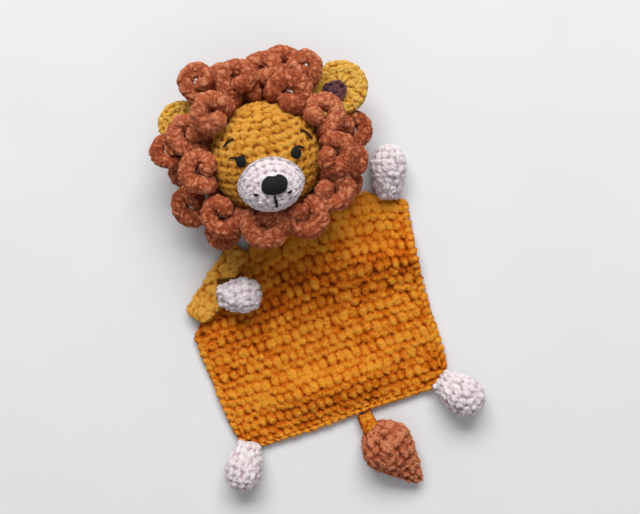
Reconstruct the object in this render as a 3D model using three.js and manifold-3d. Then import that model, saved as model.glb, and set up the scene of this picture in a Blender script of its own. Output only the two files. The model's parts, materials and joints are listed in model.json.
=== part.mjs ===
// A crocheted lion comfort blanket: a stuffed head with a muzzle, ears and a mane of curls, sewn to the
// top edge of a small waved blanket with stuffed paws over its corners and a tufted tail.
// It lies on its back, face up. Millimetres, +Z up, +Y towards the crown, +X to the right of the face.

import * as THREE from 'three';
import { mergeVertices } from 'three/addons/utils/BufferGeometryUtils.js';
import Module from 'manifold-3d';

const wasm = await Module();
wasm.setup();

// Shared sizes
const clearance = 0.35;
const overrun = 60;
const restCut = 0.5;
const fabricThick = 7;
const wallThick = 4.5;

// Blanket: its outline as shares of its width and length, and its waves
const blanketWide = 216;
const blanketLong = 178;
const topEdgeShares = [[-0.565, 0.5], [-0.23, 0.55], [0, 0.675], [0.14, 0.66], [0.32, 0.615],
  [0.405, 0.6], [0.525, 0.505]];
const leftEdgeShares = [[-0.492, -0.494], [-0.52, -0.3], [-0.54, 0], [-0.555, 0.26], [-0.565, 0.5]];
const rightEdgeShares = [[0.455, -0.494], [0.468, -0.3], [0.474, 0], [0.492, 0.27], [0.525, 0.505]];
const bottomEdgeShares = [[-0.492, -0.494], [-0.2, -0.5], [0.1, -0.49], [0.455, -0.494]];
const columns = 22;
const rows = 18;
const ridgeHigh = 21;
const ridgeYShare = 0.38;
const ridgeHalfShare = 0.3;
const lowRidgeHigh = 8;
const lowRidgeYShare = -0.31;
const lowRidgeHalfShare = 0.17;
const neckRise = 24;
const neckHalf = 62;
const neckYShare = 0.66;
const creaseQuiet = 16;
const cornerQuiet = 34;
const quietFade = 44;

// Folded left arm: the crease, and how far the folded corner reaches inwards along it
const creaseFromShare = [-0.519, 0.253];
const creaseToShare = [-0.231, 0.534];
const foldRadius = fabricThick;
const rollSides = 20;
const armInwards = 15;
const armReachShares = [[0.03, 0.5], [0.2, 1], [0.42, 1], [0.7, 0.72], [0.95, 0.5]];

// Paws: the seam's middle as a share of the blanket, heading in degrees, length, half width, half height
const pawDroop = 0.15;
const topRightPaw = { name: 'top_right', seamShare: [0.449, 0.537], heading: 74, long: 51, half: 17, high: 15.5,
  droop: pawDroop };
const bottomRightPaw = { name: 'bottom_right', seamShare: [0.412, -0.447], heading: -54, long: 48, half: 18.5,
  high: 16.5, droop: pawDroop };
const bottomLeftPaw = { name: 'bottom_left', seamShare: [-0.46, -0.455], heading: -119, long: 45, half: 17.5,
  high: 16, droop: pawDroop };
const seamPaws = [topRightPaw, bottomRightPaw, bottomLeftPaw];
const armPaw = { name: 'left_arm', seamShare: [-0.389, 0.331], heading: -15, long: 41, half: 16.5, high: 14.5,
  droop: pawDroop };
const pawOutlineShares = [[0, 0.56], [0.18, 0.74], [0.42, 0.95], [0.64, 1], [0.82, 0.86], [0.94, 0.55]];
const pawSides = 14;

// Tail
const tailSeamXShare = 0.048;
const tailHeading = -78;
const tailRootLong = 15;
const tailRootHalf = 9.5;
const tailRootHigh = 7;
const tailWaist = 1.5;
const ballSteps = 8;
const tuftHeading = -65;
const tuftLong = 68;
const tuftHalf = 25;
const tuftHigh = 18;
const tuftDroop = 0.6;
const tuftOutlineShares = [[0, 0.4], [0.12, 0.78], [0.28, 1], [0.48, 0.88], [0.7, 0.58], [0.88, 0.28],
  [0.97, 0.12]];

// Head
const headRadius = 51;
const headHigh = 48.5;
const headRoll = -7;
const neckTilt = 20;
const neckHole = 9;
const headSides = 28;
const headArcSteps = 12;
const nodBack = -30;
const nodForward = 4;
const nodSteps = 5;

// Face, in the head's own frame
const muzzleAim = [0.8, -31];
const muzzleHalf = [29.5, 22];
const muzzleDeep = 27;
const muzzleSink = 6;
const muzzleSides = 24;
const nosePlaceShares = [0.08, 0.62];
const noseHalf = [9.6, 8];
const noseOut = 4.5;
const mouthTopShare = 0.24;
const mouthEndShare = -0.24;
const mouthCornerShares = [[-0.46, 0.36], [0.49, 0.22]];
const cornerStitchLong = 4;
const eyeHalf = [4, 4.7];
const eyeOut = 2.6;
const eyeSides = 10;
const threadRadius = 0.9;
const threadSides = 6;
const faceShares = [
  {
    side: 'left',
    eye: [-0.443, -0.076],
    lash: [[-0.51, 0.008], [-0.637, 0.047]],
    brow: [[-0.506, 0.337], [-0.7, 0.245]],
  },
  {
    side: 'right',
    eye: [0.514, -0.118],
    lash: [[0.529, 0.024], [0.676, 0.02]],
    brow: [[0.671, 0.29], [0.824, 0.129]],
  },
];

// Ears and mane
const earPlaces = { left: [-74, 50], right: [79, 51] };
const earRadius = 25;
const earThick = 13;
const earDrop = 9;
const earSides = 16;
const earBaseExtra = 0.2;
const earOutlineShares = [[0, 0.55], [0.16, 0.6], [0.36, 0.86], [0.58, 1], [0.78, 0.88], [0.93, 0.52]];
const earInnerRadius = 11;
const earInnerThick = 2.5;
const earInnerInShare = 0.3;
const bandTop = 2;
const bandLow = -15;
const bandThick = 13;
const curlTube = 5.5;
const curlSides = 5;
const curlRing = 12.4;
const curlLift = 6;
const liftFade = 1.5;
const curlLean = { front: -20, back: -6 };
const curlSteps = 4;
const stemSteps = 3;
const gapSteps = 4;
const neighbourSteps = 14;
// Each curl: its middle in head radii across, up and high, its size, and the side that its stem takes
const frontCurlShares = [
  [-0.254, 1.480, 0.346, 0.92, 1],
  [-0.767, 0.897, 0.704, 0.97, -1],
  [-1.327, 0.657, 0.265, 0.95, 1],
  [-1.200, -0.060, 0.420, 1, 1],
  [-0.963, -0.918, 0.300, 1, 1],
  [-0.238, -1.218, 0.422, 1.12, -1],
  [0.513, -1.231, 0.403, 1, 1],
  [1.093, -0.837, 0.309, 0.98, 1],
  [1.248, -0.218, 0.472, 1, 1],
  [1.173, 0.520, 0.414, 1, -1],
  [0.634, 1.013, 0.420, 1.06, 1],
  [0.252, 1.560, 0.113, 0.95, 1],
];
const backCurlShares = [
  [-1.031, 1.687, 0.148, 0.87, 1],
  [-0.570, 1.720, -0.240, 0.78, -1],
  [0.654, 1.716, -0.179, 1, 1],
  [1.082, 1.559, 0.163, 0.78, -1],
  [1.789, 0.242, -0.332, 0.9, -1],
  [1.617, -0.348, -0.149, 0.82, -1],
  [1.450, -0.760, -0.450, 0.78, -1],
  [-1.863, 0.493, 0.075, 0.78, 1],
  [-1.640, 0.080, -0.300, 0.78, 1],
  [-1.620, -0.620, -0.250, 1, 1],
  [-1.160, -1.260, -0.420, 0.82, 1],
];

const degree = Math.PI / 180;

// Materials, one for each finish
function finish(color, roughness) {
  return new THREE.MeshStandardMaterial({ color, roughness, metalness: 0 });
}
const mustard = finish('#c8831f', 0.95);
const rust = finish('#b0603f', 0.95);
const lilac = finish('#d9cfd3', 0.95);
const plum = finish('#4a2a2e', 0.95);
const black = finish('#1e1e20', 0.6);
const fibre = finish('#efefec', 1);

// Joins rings of points into one closed body; a tip is a point that closes an end
function loft(rings, startTip, endTip) {
  const sides = rings[0].length;
  const points = rings.flat();
  const faces = [];
  for (let r = 0; r + 1 < rings.length; r += 1) {
    for (let k = 0; k < sides; k += 1) {
      const a = r * sides + k;
      const b = r * sides + (k + 1) % sides;
      faces.push(a, b, b + sides, a, b + sides, a + sides);
    }
  }
  const first = points.push(startTip) - 1;
  const last = points.push(endTip) - 1;
  const tail = (rings.length - 1) * sides;
  for (let k = 0; k < sides; k += 1) {
    faces.push(first, (k + 1) % sides, k);
    faces.push(last, tail + k, tail + (k + 1) % sides);
  }
  return surface(points, faces);
}

// A mesh from points and triangles, turned inside out where its volume comes out negative
function surface(points, faces) {
  let volume = 0;
  for (let i = 0; i < faces.length; i += 3) {
    const [a, b, c] = [points[faces[i]], points[faces[i + 1]], points[faces[i + 2]]];
    volume += a.dot(new THREE.Vector3().crossVectors(b, c));
  }
  const order = volume < 0 ? [...faces].reverse() : faces;
  const geometry = new THREE.BufferGeometry().setFromPoints(points);
  geometry.setIndex(order);
  return geometry;
}

function middleOf(ring) {
  const sum = new THREE.Vector3();
  ring.forEach((p) => sum.add(p));
  return sum.divideScalar(ring.length);
}

// Solids for cutting
function solid(geometry, matrix = new THREE.Matrix4()) {
  const bare = new THREE.BufferGeometry();
  bare.setAttribute('position', geometry.getAttribute('position').clone());
  if (geometry.index) bare.setIndex(geometry.index.clone());
  const merged = mergeVertices(bare, clearance / 1000);
  merged.applyMatrix4(matrix);
  return new wasm.Manifold(new wasm.Mesh({
    numProp: 3,
    vertProperties: new Float32Array(merged.getAttribute('position').array),
    triVerts: new Uint32Array(merged.index.array),
  }));
}

function toGeometry(body) {
  const mesh = body.getMesh();
  const geometry = new THREE.BufferGeometry();
  geometry.setAttribute('position', new THREE.BufferAttribute(new Float32Array(mesh.vertProperties), 3));
  geometry.setIndex(new THREE.BufferAttribute(new Uint32Array(mesh.triVerts), 1));
  return geometry;
}

function ellipsoid(x, y, z, across = headSides, up = headArcSteps) {
  const geometry = new THREE.SphereGeometry(1, across, up);
  geometry.rotateX(Math.PI / 2);
  geometry.scale(x, y, z);
  return geometry;
}

function block(low, high) {
  const size = high.clone().sub(low);
  const geometry = new THREE.BoxGeometry(size.x, size.y, size.z);
  geometry.translate(low.x + size.x / 2, low.y + size.y / 2, low.z + size.z / 2);
  return geometry;
}

// Everything below the height that a piece rests on
function ground(level) {
  const reach = blanketWide * 2;
  const low = new THREE.Vector3(-reach, -reach, level - reach);
  return solid(block(low, new THREE.Vector3(reach, reach, level)));
}

function smooth(t) {
  const k = THREE.MathUtils.clamp(t, 0, 1);
  return k * k * (3 - 2 * k);
}

function bell(t) {
  return Math.abs(t) < 1 ? Math.cos(t * Math.PI / 2) ** 2 : 0;
}

// One ring of an egg that lies along +X and rests on z = 0
function eggRing(x, halfWide, halfHigh, middleZ, sides) {
  const ring = [];
  for (let k = 0; k < sides; k += 1) {
    const angle = 2 * Math.PI * k / sides;
    ring.push(new THREE.Vector3(x, halfWide * Math.cos(angle), middleZ + halfHigh * Math.sin(angle)));
  }
  return ring;
}

// An egg's stations: place along it, half width, half height and the height of its middle
function eggStations(shares, size, inset) {
  const bellyAt = shares.find(([, w]) => w === 1)[0];
  return shares.map(([t, w]) => {
    const resting = w * size.high;
    const middle = t < bellyAt ? resting : THREE.MathUtils.lerp(size.high, resting, size.droop);
    return {
      x: t * (size.long - inset),
      wide: w * size.half - inset,
      high: resting - inset,
      middle: middle - restCut,
    };
  });
}

// A crocheted cup that lies along +X with its mouth at x = 0, and the filling inside it
function eggCup(shares, size) {
  const outer = eggStations(shares, size, 0);
  const inner = eggStations(shares, size, wallThick).filter((s) => Math.min(s.wide, s.high) > clearance * 2);
  const ringOf = (s) => eggRing(s.x, s.wide, s.high, s.middle, pawSides);
  const tip = (stations, x) => new THREE.Vector3(x, 0, stations.at(-1).middle);
  const outerRings = outer.map(ringOf);
  const shellBody = solid(loft(outerRings, middleOf(outerRings[0]), tip(outer, size.long)));
  const hollowRings = [{ ...inner[0], x: -overrun }, ...inner].map(ringOf);
  const hollow = solid(loft(hollowRings, middleOf(hollowRings[0]), tip(inner, size.long - wallThick)));
  const wad = inner.map((s) => ({ ...s, wide: s.wide - clearance, high: s.high - clearance }));
  wad[0].x = clearance + fabricThick;
  const wadRings = wad.filter((s, i) => i === 0 || s.x > wad[0].x).map(ringOf);
  const wadEnd = tip(inner, size.long - wallThick - clearance);
  return {
    shell: toGeometry(shellBody.subtract(hollow).subtract(ground(0))),
    filling: loft(wadRings, middleOf(wadRings[0]), wadEnd),
  };
}

const tipShare = 0.7;

// An unbroken tube along points, with a rounded start and a flat end
function tube(points, radius, sides, roundStart = true) {
  const rings = [];
  let across = new THREE.Vector3(0, 0, 1);
  const tangents = points.map((p, i) => {
    const before = points[Math.max(i - 1, 0)];
    const after = points[Math.min(i + 1, points.length - 1)];
    return after.clone().sub(before).normalize();
  });
  if (Math.abs(across.dot(tangents[0])) > 0.9) across = new THREE.Vector3(1, 0, 0);
  points.forEach((p, i) => {
    across.addScaledVector(tangents[i], -across.dot(tangents[i])).normalize();
    const other = new THREE.Vector3().crossVectors(tangents[i], across);
    const ring = [];
    for (let k = 0; k < sides; k += 1) {
      const angle = 2 * Math.PI * k / sides;
      ring.push(p.clone().addScaledVector(across, radius * Math.cos(angle))
        .addScaledVector(other, radius * Math.sin(angle)));
    }
    rings.push(ring);
  });
  const startTip = points[0].clone();
  if (roundStart) startTip.addScaledVector(tangents[0], -radius * tipShare);
  return loft(rings, startTip, points[points.length - 1].clone());
}

const lovey = new THREE.Group();
const blanketFrame = new THREE.Group();
lovey.add(blanketFrame);

function addPiece(name, geometry, material, parent) {
  const shape = geometry.index ? geometry.toNonIndexed() : geometry;
  shape.computeVertexNormals();
  const piece = new THREE.Mesh(shape, material);
  piece.name = name;
  parent.add(piece);
  return piece;
}

function onBlanket([xShare, yShare]) {
  return new THREE.Vector2(xShare * blanketWide, yShare * blanketLong);
}

function edgeCurve(shares) {
  return new THREE.SplineCurve(shares.map(onBlanket));
}
const edges = {
  top: edgeCurve(topEdgeShares),
  left: edgeCurve(leftEdgeShares),
  right: edgeCurve(rightEdgeShares),
  bottom: edgeCurve(bottomEdgeShares),
};

const creaseFrom = onBlanket(creaseFromShare);
const creaseTo = onBlanket(creaseToShare);
const creaseLong = creaseTo.distanceTo(creaseFrom);
const creaseAngle = Math.atan2(creaseTo.y - creaseFrom.y, creaseTo.x - creaseFrom.x);
const corners = seamPaws.map((paw) => onBlanket(paw.seamShare));

function distanceToLine(point, from, to) {
  const way = to.clone().sub(from);
  const share = THREE.MathUtils.clamp(point.clone().sub(from).dot(way) / way.lengthSq(), 0, 1);
  return point.distanceTo(from.clone().addScaledVector(way, share));
}

// Where the arm's paw lies, from its seam to its tip
const armPawFrom = onBlanket(armPaw.seamShare);
const armPawTo = new THREE.Vector2(armPaw.long, 0).rotateAround(new THREE.Vector2(), armPaw.heading * degree)
  .add(armPawFrom);

// How high the underside of the blanket stands over a place
function waveAt(point) {
  const calmBy = (distance, quiet) => smooth((distance - quiet) / quietFade);
  const calmCrease = calmBy(Math.min(distanceToLine(point, creaseFrom, creaseTo),
    distanceToLine(point, armPawFrom, armPawTo)), creaseQuiet);
  const calm = corners.reduce((k, c) => k * calmBy(point.distanceTo(c), cornerQuiet), calmCrease);
  const ridge = ridgeHigh * bell((point.y / blanketLong - ridgeYShare) / ridgeHalfShare);
  const low = lowRidgeHigh * bell((point.y / blanketLong - lowRidgeYShare) / lowRidgeHalfShare);
  const rise = smooth((point.y / blanketLong - ridgeYShare) / (neckYShare - ridgeYShare));
  return calm * (ridge + low) + calmCrease * neckRise * bell(point.x / neckHalf) * rise;
}

// A place on the flat cloth, by its shares across and up between the four edges
function clothPoint(u, v) {
  const [b, t] = [edges.bottom.getPoint(u), edges.top.getPoint(u)];
  const [l, r] = [edges.left.getPoint(v), edges.right.getPoint(v)];
  const corner = (a, ku, kv) => a.clone().multiplyScalar(ku * kv);
  return b.multiplyScalar(1 - v).add(t.multiplyScalar(v)).add(l.multiplyScalar(1 - u)).add(r.multiplyScalar(u))
    .sub(corner(edges.bottom.getPoint(0), 1 - u, 1 - v)).sub(corner(edges.bottom.getPoint(1), u, 1 - v))
    .sub(corner(edges.top.getPoint(0), 1 - u, v)).sub(corner(edges.top.getPoint(1), u, v));
}

function clothSheet() {
  const points = [];
  const faces = [];
  const across = columns + 1;
  const count = across * (rows + 1);
  for (const lift of [0, fabricThick]) {
    for (let j = 0; j <= rows; j += 1) {
      for (let i = 0; i < across; i += 1) {
        const place = clothPoint(i / columns, j / rows);
        points.push(new THREE.Vector3(place.x, place.y, waveAt(place) + lift));
      }
    }
  }
  const quad = (a, b, c, d) => faces.push(a, b, c, a, c, d);
  for (let j = 0; j < rows; j += 1) {
    for (let i = 0; i < columns; i += 1) {
      const a = j * across + i;
      quad(a, a + across, a + across + 1, a + 1);
      quad(count + a, count + a + 1, count + a + across + 1, count + a + across);
    }
  }
  for (let i = 0; i < columns; i += 1) {
    const top = rows * across + i;
    quad(i, i + 1, count + i + 1, count + i);
    quad(top + 1, top, count + top, count + top + 1);
  }
  for (let j = 0; j < rows; j += 1) {
    const left = j * across;
    const right = left + columns;
    quad(left + across, left, count + left, count + left + across);
    quad(right, right + across, count + right + across, count + right);
  }
  return surface(points, faces);
}

// The head's frame: its middle over the neck seam, turned a little to one side
const neckTop = neckRise + fabricThick;
const headMiddleZ = headHigh - restCut;
const neckReach = headRadius * Math.sqrt(1 - ((headMiddleZ - neckTop) / headHigh) ** 2);
const neckY = neckYShare * blanketLong;
const headFrame = new THREE.Group();
headFrame.position.set(0, neckY + neckReach, headMiddleZ);
headFrame.rotation.z = headRoll * degree;
headFrame.updateMatrix();
lovey.add(headFrame);
const nodPivot = new THREE.Vector3(0, neckY, neckTop);

// The space that the head takes while it nods about the neck seam
function headSweep() {
  let space = null;
  for (let i = 0; i <= nodSteps; i += 1) {
    const angle = THREE.MathUtils.lerp(nodBack, nodForward, i / nodSteps) * degree;
    const matrix = new THREE.Matrix4().makeTranslation(nodPivot.x, nodPivot.y, nodPivot.z)
      .multiply(new THREE.Matrix4().makeRotationX(angle))
      .multiply(new THREE.Matrix4().makeTranslation(-nodPivot.x, -nodPivot.y, -nodPivot.z))
      .multiply(headFrame.matrix);
    const here = solid(turned(headArc(headRadius + clearance, neckHole)), matrix);
    space = space ? space.add(here) : here;
  }
  return space;
}

// A frame that stands at a seam on the blanket, with +X pointing away from it
function seamFrame(name, place, heading, z, parent) {
  const group = new THREE.Group();
  group.name = name;
  group.position.set(place.x, place.y, z);
  group.rotation.z = heading * degree;
  group.updateMatrix();
  parent.add(group);
  return group;
}

// What is cut from the cloth where a paw's mouth stands against it
function seamCut(frame, half) {
  const low = new THREE.Vector3(-clearance, -half, -overrun);
  return solid(block(low, new THREE.Vector3(overrun, half, overrun)), frame.matrix);
}

// Crease frame: +X along the crease, +Y inwards over the blanket, at the cloth's upper face
const creaseFrame = new THREE.Matrix4().makeTranslation(creaseFrom.x, creaseFrom.y, fabricThick)
  .multiply(new THREE.Matrix4().makeRotationZ(creaseAngle))
  .multiply(new THREE.Matrix4().makeScale(1, -1, 1));

function alongCrease(radius, from, to) {
  const geometry = new THREE.CylinderGeometry(radius, radius, to - from, rollSides);
  geometry.rotateZ(Math.PI / 2);
  geometry.translate((from + to) / 2, 0, 0);
  return geometry;
}

// A mirrored matrix turns faces inside out, so the points are placed first and the order is mended after
function placed(geometry, matrix) {
  const bare = new THREE.BufferGeometry();
  bare.setAttribute('position', geometry.getAttribute('position').clone());
  if (geometry.index) bare.setIndex(geometry.index.clone());
  const merged = mergeVertices(bare, clearance / 1000).applyMatrix4(matrix);
  const points = [];
  const place = merged.getAttribute('position');
  for (let i = 0; i < place.count; i += 1) points.push(new THREE.Vector3().fromBufferAttribute(place, i));
  return surface(points, [...merged.index.array]);
}

const pawFrames = seamPaws.map((paw) => {
  return seamFrame(`paw_${paw.name}_frame`, onBlanket(paw.seamShare), paw.heading, 0, blanketFrame);
});
const armFrame = seamFrame('paw_left_arm_frame', onBlanket(armPaw.seamShare), armPaw.heading,
  fabricThick + clearance, blanketFrame);
const tailSeam = new THREE.Vector2(tailSeamXShare * blanketWide, -blanketLong / 2 - clearance);
const tailFrame = seamFrame('tail_frame', tailSeam, tailHeading, 0, blanketFrame);

function blanketBody() {
  let body = solid(clothSheet());
  const far = overrun * 2;
  const beyond = block(new THREE.Vector3(-far, -far, -far), new THREE.Vector3(creaseLong + foldRadius, 0, far));
  body = body.subtract(solid(placed(beyond, creaseFrame)));
  const roll = alongCrease(foldRadius + clearance, -far, creaseLong + foldRadius + clearance);
  body = body.subtract(solid(placed(roll, creaseFrame)));
  seamPaws.forEach((paw, i) => {
    body = body.subtract(seamCut(pawFrames[i], paw.half));
  });
  body = body.subtract(seamCut(tailFrame, tailRootHalf + clearance));
  return body.subtract(headSweep());
}
const blanket = blanketBody();
const largest = blanket.decompose().sort((a, b) => b.volume() - a.volume())[0];
addPiece('blanket', toGeometry(largest), mustard, blanketFrame);

// The folded corner: a roll along the crease and a flap that lies over the blanket
function leftArm() {
  const roll = solid(placed(alongCrease(foldRadius, 0, creaseLong), creaseFrame));
  const outline = [new THREE.Vector2(0, 0)];
  armReachShares.forEach(([s, p]) => outline.push(new THREE.Vector2(s * creaseLong, p * armInwards)));
  outline.push(new THREE.Vector2(creaseLong, 0));
  const flap = new THREE.ExtrudeGeometry(new THREE.Shape(outline), {
    depth: foldRadius - clearance,
    bevelEnabled: false,
  });
  flap.translate(0, 0, clearance);
  const mouth = block(new THREE.Vector3(-clearance, -armPaw.half, -overrun),
    new THREE.Vector3(armPaw.long + overrun, armPaw.half, overrun));
  const cut = solid(mouth, armFrame.matrix);
  return roll.add(solid(placed(flap, creaseFrame)).subtract(cut)).subtract(cut).subtract(ground(0));
}
const armPieces = leftArm().decompose().sort((a, b) => b.volume() - a.volume());
addPiece('blanket_left_arm', toGeometry(armPieces[0]), mustard, blanketFrame);

function addPaw(paw, frame) {
  const cup = eggCup(pawOutlineShares, paw);
  addPiece(`paw_${paw.name}_shell`, cup.shell, lilac, frame);
  addPiece(`paw_${paw.name}_filling`, cup.filling, fibre, frame);
}
seamPaws.forEach((paw, i) => addPaw(paw, pawFrames[i]));
addPaw(armPaw, armFrame);

// The tail: a root with a round end, and a tuft whose mouth is a cup round that end
const tuftFrame = new THREE.Group();
tuftFrame.position.set(tailRootLong, 0, 0);
tuftFrame.rotation.z = (tuftHeading - tailHeading) * degree;
tuftFrame.updateMatrix();
tailFrame.add(tuftFrame);

function tailRoot() {
  const axis = tailRootHigh - restCut;
  const ring = (x) => eggRing(x, tailRootHalf - tailWaist, tailRootHigh - tailWaist, axis, pawSides);
  const ends = [ring(0), ring(tailRootLong)];
  const shaft = solid(loft(ends, middleOf(ends[0]), middleOf(ends[1])));
  const ball = ellipsoid(tailRootHalf, tailRootHalf, tailRootHigh, pawSides, ballSteps);
  ball.translate(tailRootLong, 0, axis);
  return shaft.add(solid(ball)).subtract(ground(0)).subtract(solid(block(
    new THREE.Vector3(-overrun, -overrun, -overrun), new THREE.Vector3(0, overrun, overrun))));
}
addPiece('tail_root', toGeometry(tailRoot()), mustard, tailFrame);

function tailTuft() {
  const size = { long: tuftLong, half: tuftHalf, high: tuftHigh, droop: tuftDroop };
  const cup = eggCup(tuftOutlineShares, size);
  const gap = clearance * 2;
  const socket = ellipsoid(tailRootHalf + gap, tailRootHalf + gap, tailRootHigh + gap, pawSides, ballSteps);
  socket.translate(0, 0, tailRootHigh - restCut);
  const room = solid(socket);
  addPiece('tail_tuft', toGeometry(solid(cup.shell).subtract(room)), rust, tuftFrame);
  addPiece('tail_filling', toGeometry(solid(cup.filling).subtract(room)), fibre, tuftFrame);
}
tailTuft();

// Half an arc from the neck's hole to the crown, for a body turned about the line between them
function headArc(radius, hole) {
  const start = Math.asin(hole / radius);
  const arc = [];
  for (let i = 0; i < headArcSteps; i += 1) {
    const angle = THREE.MathUtils.lerp(start, Math.PI, i / headArcSteps);
    arc.push(new THREE.Vector2(radius * Math.sin(angle), -radius * Math.cos(angle)));
  }
  arc.push(new THREE.Vector2(0, radius));
  return arc;
}

// The head: a shell that is open at the neck, round its filling
function headShell() {
  const below = -headRadius - overrun;
  const room = [new THREE.Vector2(neckHole, below), ...headArc(headRadius - wallThick, neckHole)];
  return solid(turned(headArc(headRadius, neckHole))).subtract(solid(turned(room)));
}

// A closed body turned about the head's axis, flattened from face to back
function turned(profile) {
  const closed = profile[0].x === 0 ? profile : [new THREE.Vector2(0, profile[0].y), ...profile];
  const geometry = new THREE.LatheGeometry(closed, headSides);
  geometry.rotateX(neckTilt * degree);
  geometry.scale(1, 1, headHigh / headRadius);
  return placed(geometry, new THREE.Matrix4());
}
const restPlane = ground(-headMiddleZ);
addPiece('head_shell', toGeometry(headShell().subtract(restPlane)), mustard, headFrame);
const fillShrink = wallThick + clearance;
addPiece('head_filling', turned(headArc(headRadius - fillShrink, neckHole)), fibre, headFrame);

// A point over the head's skin, stood off from it by a distance
function onHead(x, y, off) {
  const z = headHigh * Math.sqrt(1 - (x * x + y * y) / headRadius ** 2);
  const normal = new THREE.Vector3(x / headRadius ** 2, y / headRadius ** 2, z / headHigh ** 2).normalize();
  return new THREE.Vector3(x, y, z).addScaledVector(normal, off);
}
const headRoom = solid(turned(headArc(headRadius + clearance, neckHole)));

// The muzzle: an oval cup sewn to the face, with its filling, in a frame that looks out of the face
const muzzleFrame = new THREE.Group();
const muzzleOutwards = onHead(muzzleAim[0], muzzleAim[1], 0);
muzzleFrame.position.copy(muzzleOutwards.clone().setLength(muzzleOutwards.length() - muzzleSink));
muzzleFrame.rotation.x = Math.atan2(-muzzleAim[1], muzzleOutwards.z);
muzzleFrame.updateMatrix();
headFrame.add(muzzleFrame);
const headSeenFromMuzzle = (room) => room.transform(muzzleFrame.matrix.clone().invert().elements);
function muzzleSkin(grow) {
  const [a, b] = muzzleHalf;
  return solid(ellipsoid(a + grow, b + grow, muzzleDeep + grow, muzzleSides, pawSides));
}

function addMuzzle() {
  const faceSide = headSeenFromMuzzle(headRoom);
  const far = new THREE.Vector3(overrun, overrun, overrun);
  const front = solid(block(new THREE.Vector3(-overrun, -overrun, 0), far));
  const shell = muzzleSkin(0).intersect(front).subtract(muzzleSkin(-wallThick)).subtract(faceSide);
  const filling = muzzleSkin(-fillShrink).intersect(front).subtract(faceSide);
  addPiece('muzzle_shell', toGeometry(shell), lilac, muzzleFrame);
  addPiece('muzzle_filling', toGeometry(filling), fibre, muzzleFrame);
}
addMuzzle();

// A point over the muzzle's skin, by shares of its half sizes
function onMuzzle(xShare, yShare, off) {
  const [a, b] = muzzleHalf;
  const z = muzzleDeep * Math.sqrt(1 - xShare ** 2 - yShare ** 2);
  const normal = new THREE.Vector3(xShare / a, yShare / b, z / muzzleDeep ** 2).normalize();
  return new THREE.Vector3(xShare * a, yShare * b, z).addScaledVector(normal, off);
}
const threadOff = threadRadius + clearance;

function addNose() {
  const pad = ellipsoid(noseHalf[0], noseHalf[1], noseOut, earSides, ballSteps);
  const seat = onMuzzle(nosePlaceShares[0], nosePlaceShares[1], 0);
  pad.rotateX(-Math.atan2(seat.y / muzzleHalf[1] ** 2, seat.z / muzzleDeep ** 2));
  pad.translate(seat.x, seat.y, seat.z);
  const body = solid(pad).subtract(muzzleSkin(clearance));
  addPiece('nose', toGeometry(body), black, muzzleFrame);
}
addNose();

function addThread(name, points, parent) {
  addPiece(name, tube(points, threadRadius, threadSides, false), black, parent);
}
const mouthLine = [0, 1, 2, 3, 4].map((i) => {
  return onMuzzle(nosePlaceShares[0] / 2, THREE.MathUtils.lerp(mouthTopShare, mouthEndShare, i / 4), threadOff);
});
addThread('mouth_thread', mouthLine, muzzleFrame);
mouthCornerShares.forEach(([x, y], i) => {
  const reach = cornerStitchLong / muzzleHalf[0];
  const stitch = [x - reach / 2, x, x + reach / 2].map((s) => onMuzzle(s, y, threadOff));
  addThread(`mouth_corner_${i ? 'right' : 'left'}`, stitch, muzzleFrame);
});

for (const { side, eye: eyeShares, lash, brow } of faceShares) {
  const onFace = ([x, y], off) => onHead(x * headRadius, y * headRadius, off);
  const seat = onFace(eyeShares, 0);
  const eye = ellipsoid(eyeHalf[0], eyeHalf[1], eyeOut, eyeSides, eyeSides);
  eye.rotateX(-Math.atan2(seat.y, seat.z));
  eye.rotateY(Math.atan2(seat.x, seat.z));
  eye.translate(seat.x, seat.y, seat.z);
  addPiece(`eye_${side}`, toGeometry(solid(eye).subtract(headRoom)), black, headFrame);
  for (const [name, [from, to]] of [['eyelash', lash], ['eyebrow', brow]]) {
    const line = [0, 1, 2, 3].map((i) => {
      const shares = from.map((start, k) => THREE.MathUtils.lerp(start, to[k], i / 3));
      return onFace(shares, threadOff);
    });
    addThread(`${name}_${side}`, line, headFrame);
  }
}

// The mane's band, sewn round the head behind the face
const bandOuter = headRadius + clearance + bandThick;
function maneBand() {
  const skin = solid(ellipsoid(bandOuter, bandOuter, headHigh + clearance + bandThick));
  const slab = solid(block(new THREE.Vector3(-overrun * 2, -overrun * 2, bandLow),
    new THREE.Vector3(overrun * 2, overrun * 2, bandTop)));
  return skin.intersect(slab).subtract(headRoom);
}
const band = maneBand();
addPiece('mane_band', toGeometry(band), rust, headFrame);
const roomOuter = bandOuter + clearance;
const bandRoom = solid(ellipsoid(roomOuter, roomOuter, headHigh + bandThick + clearance * 2));

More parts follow.
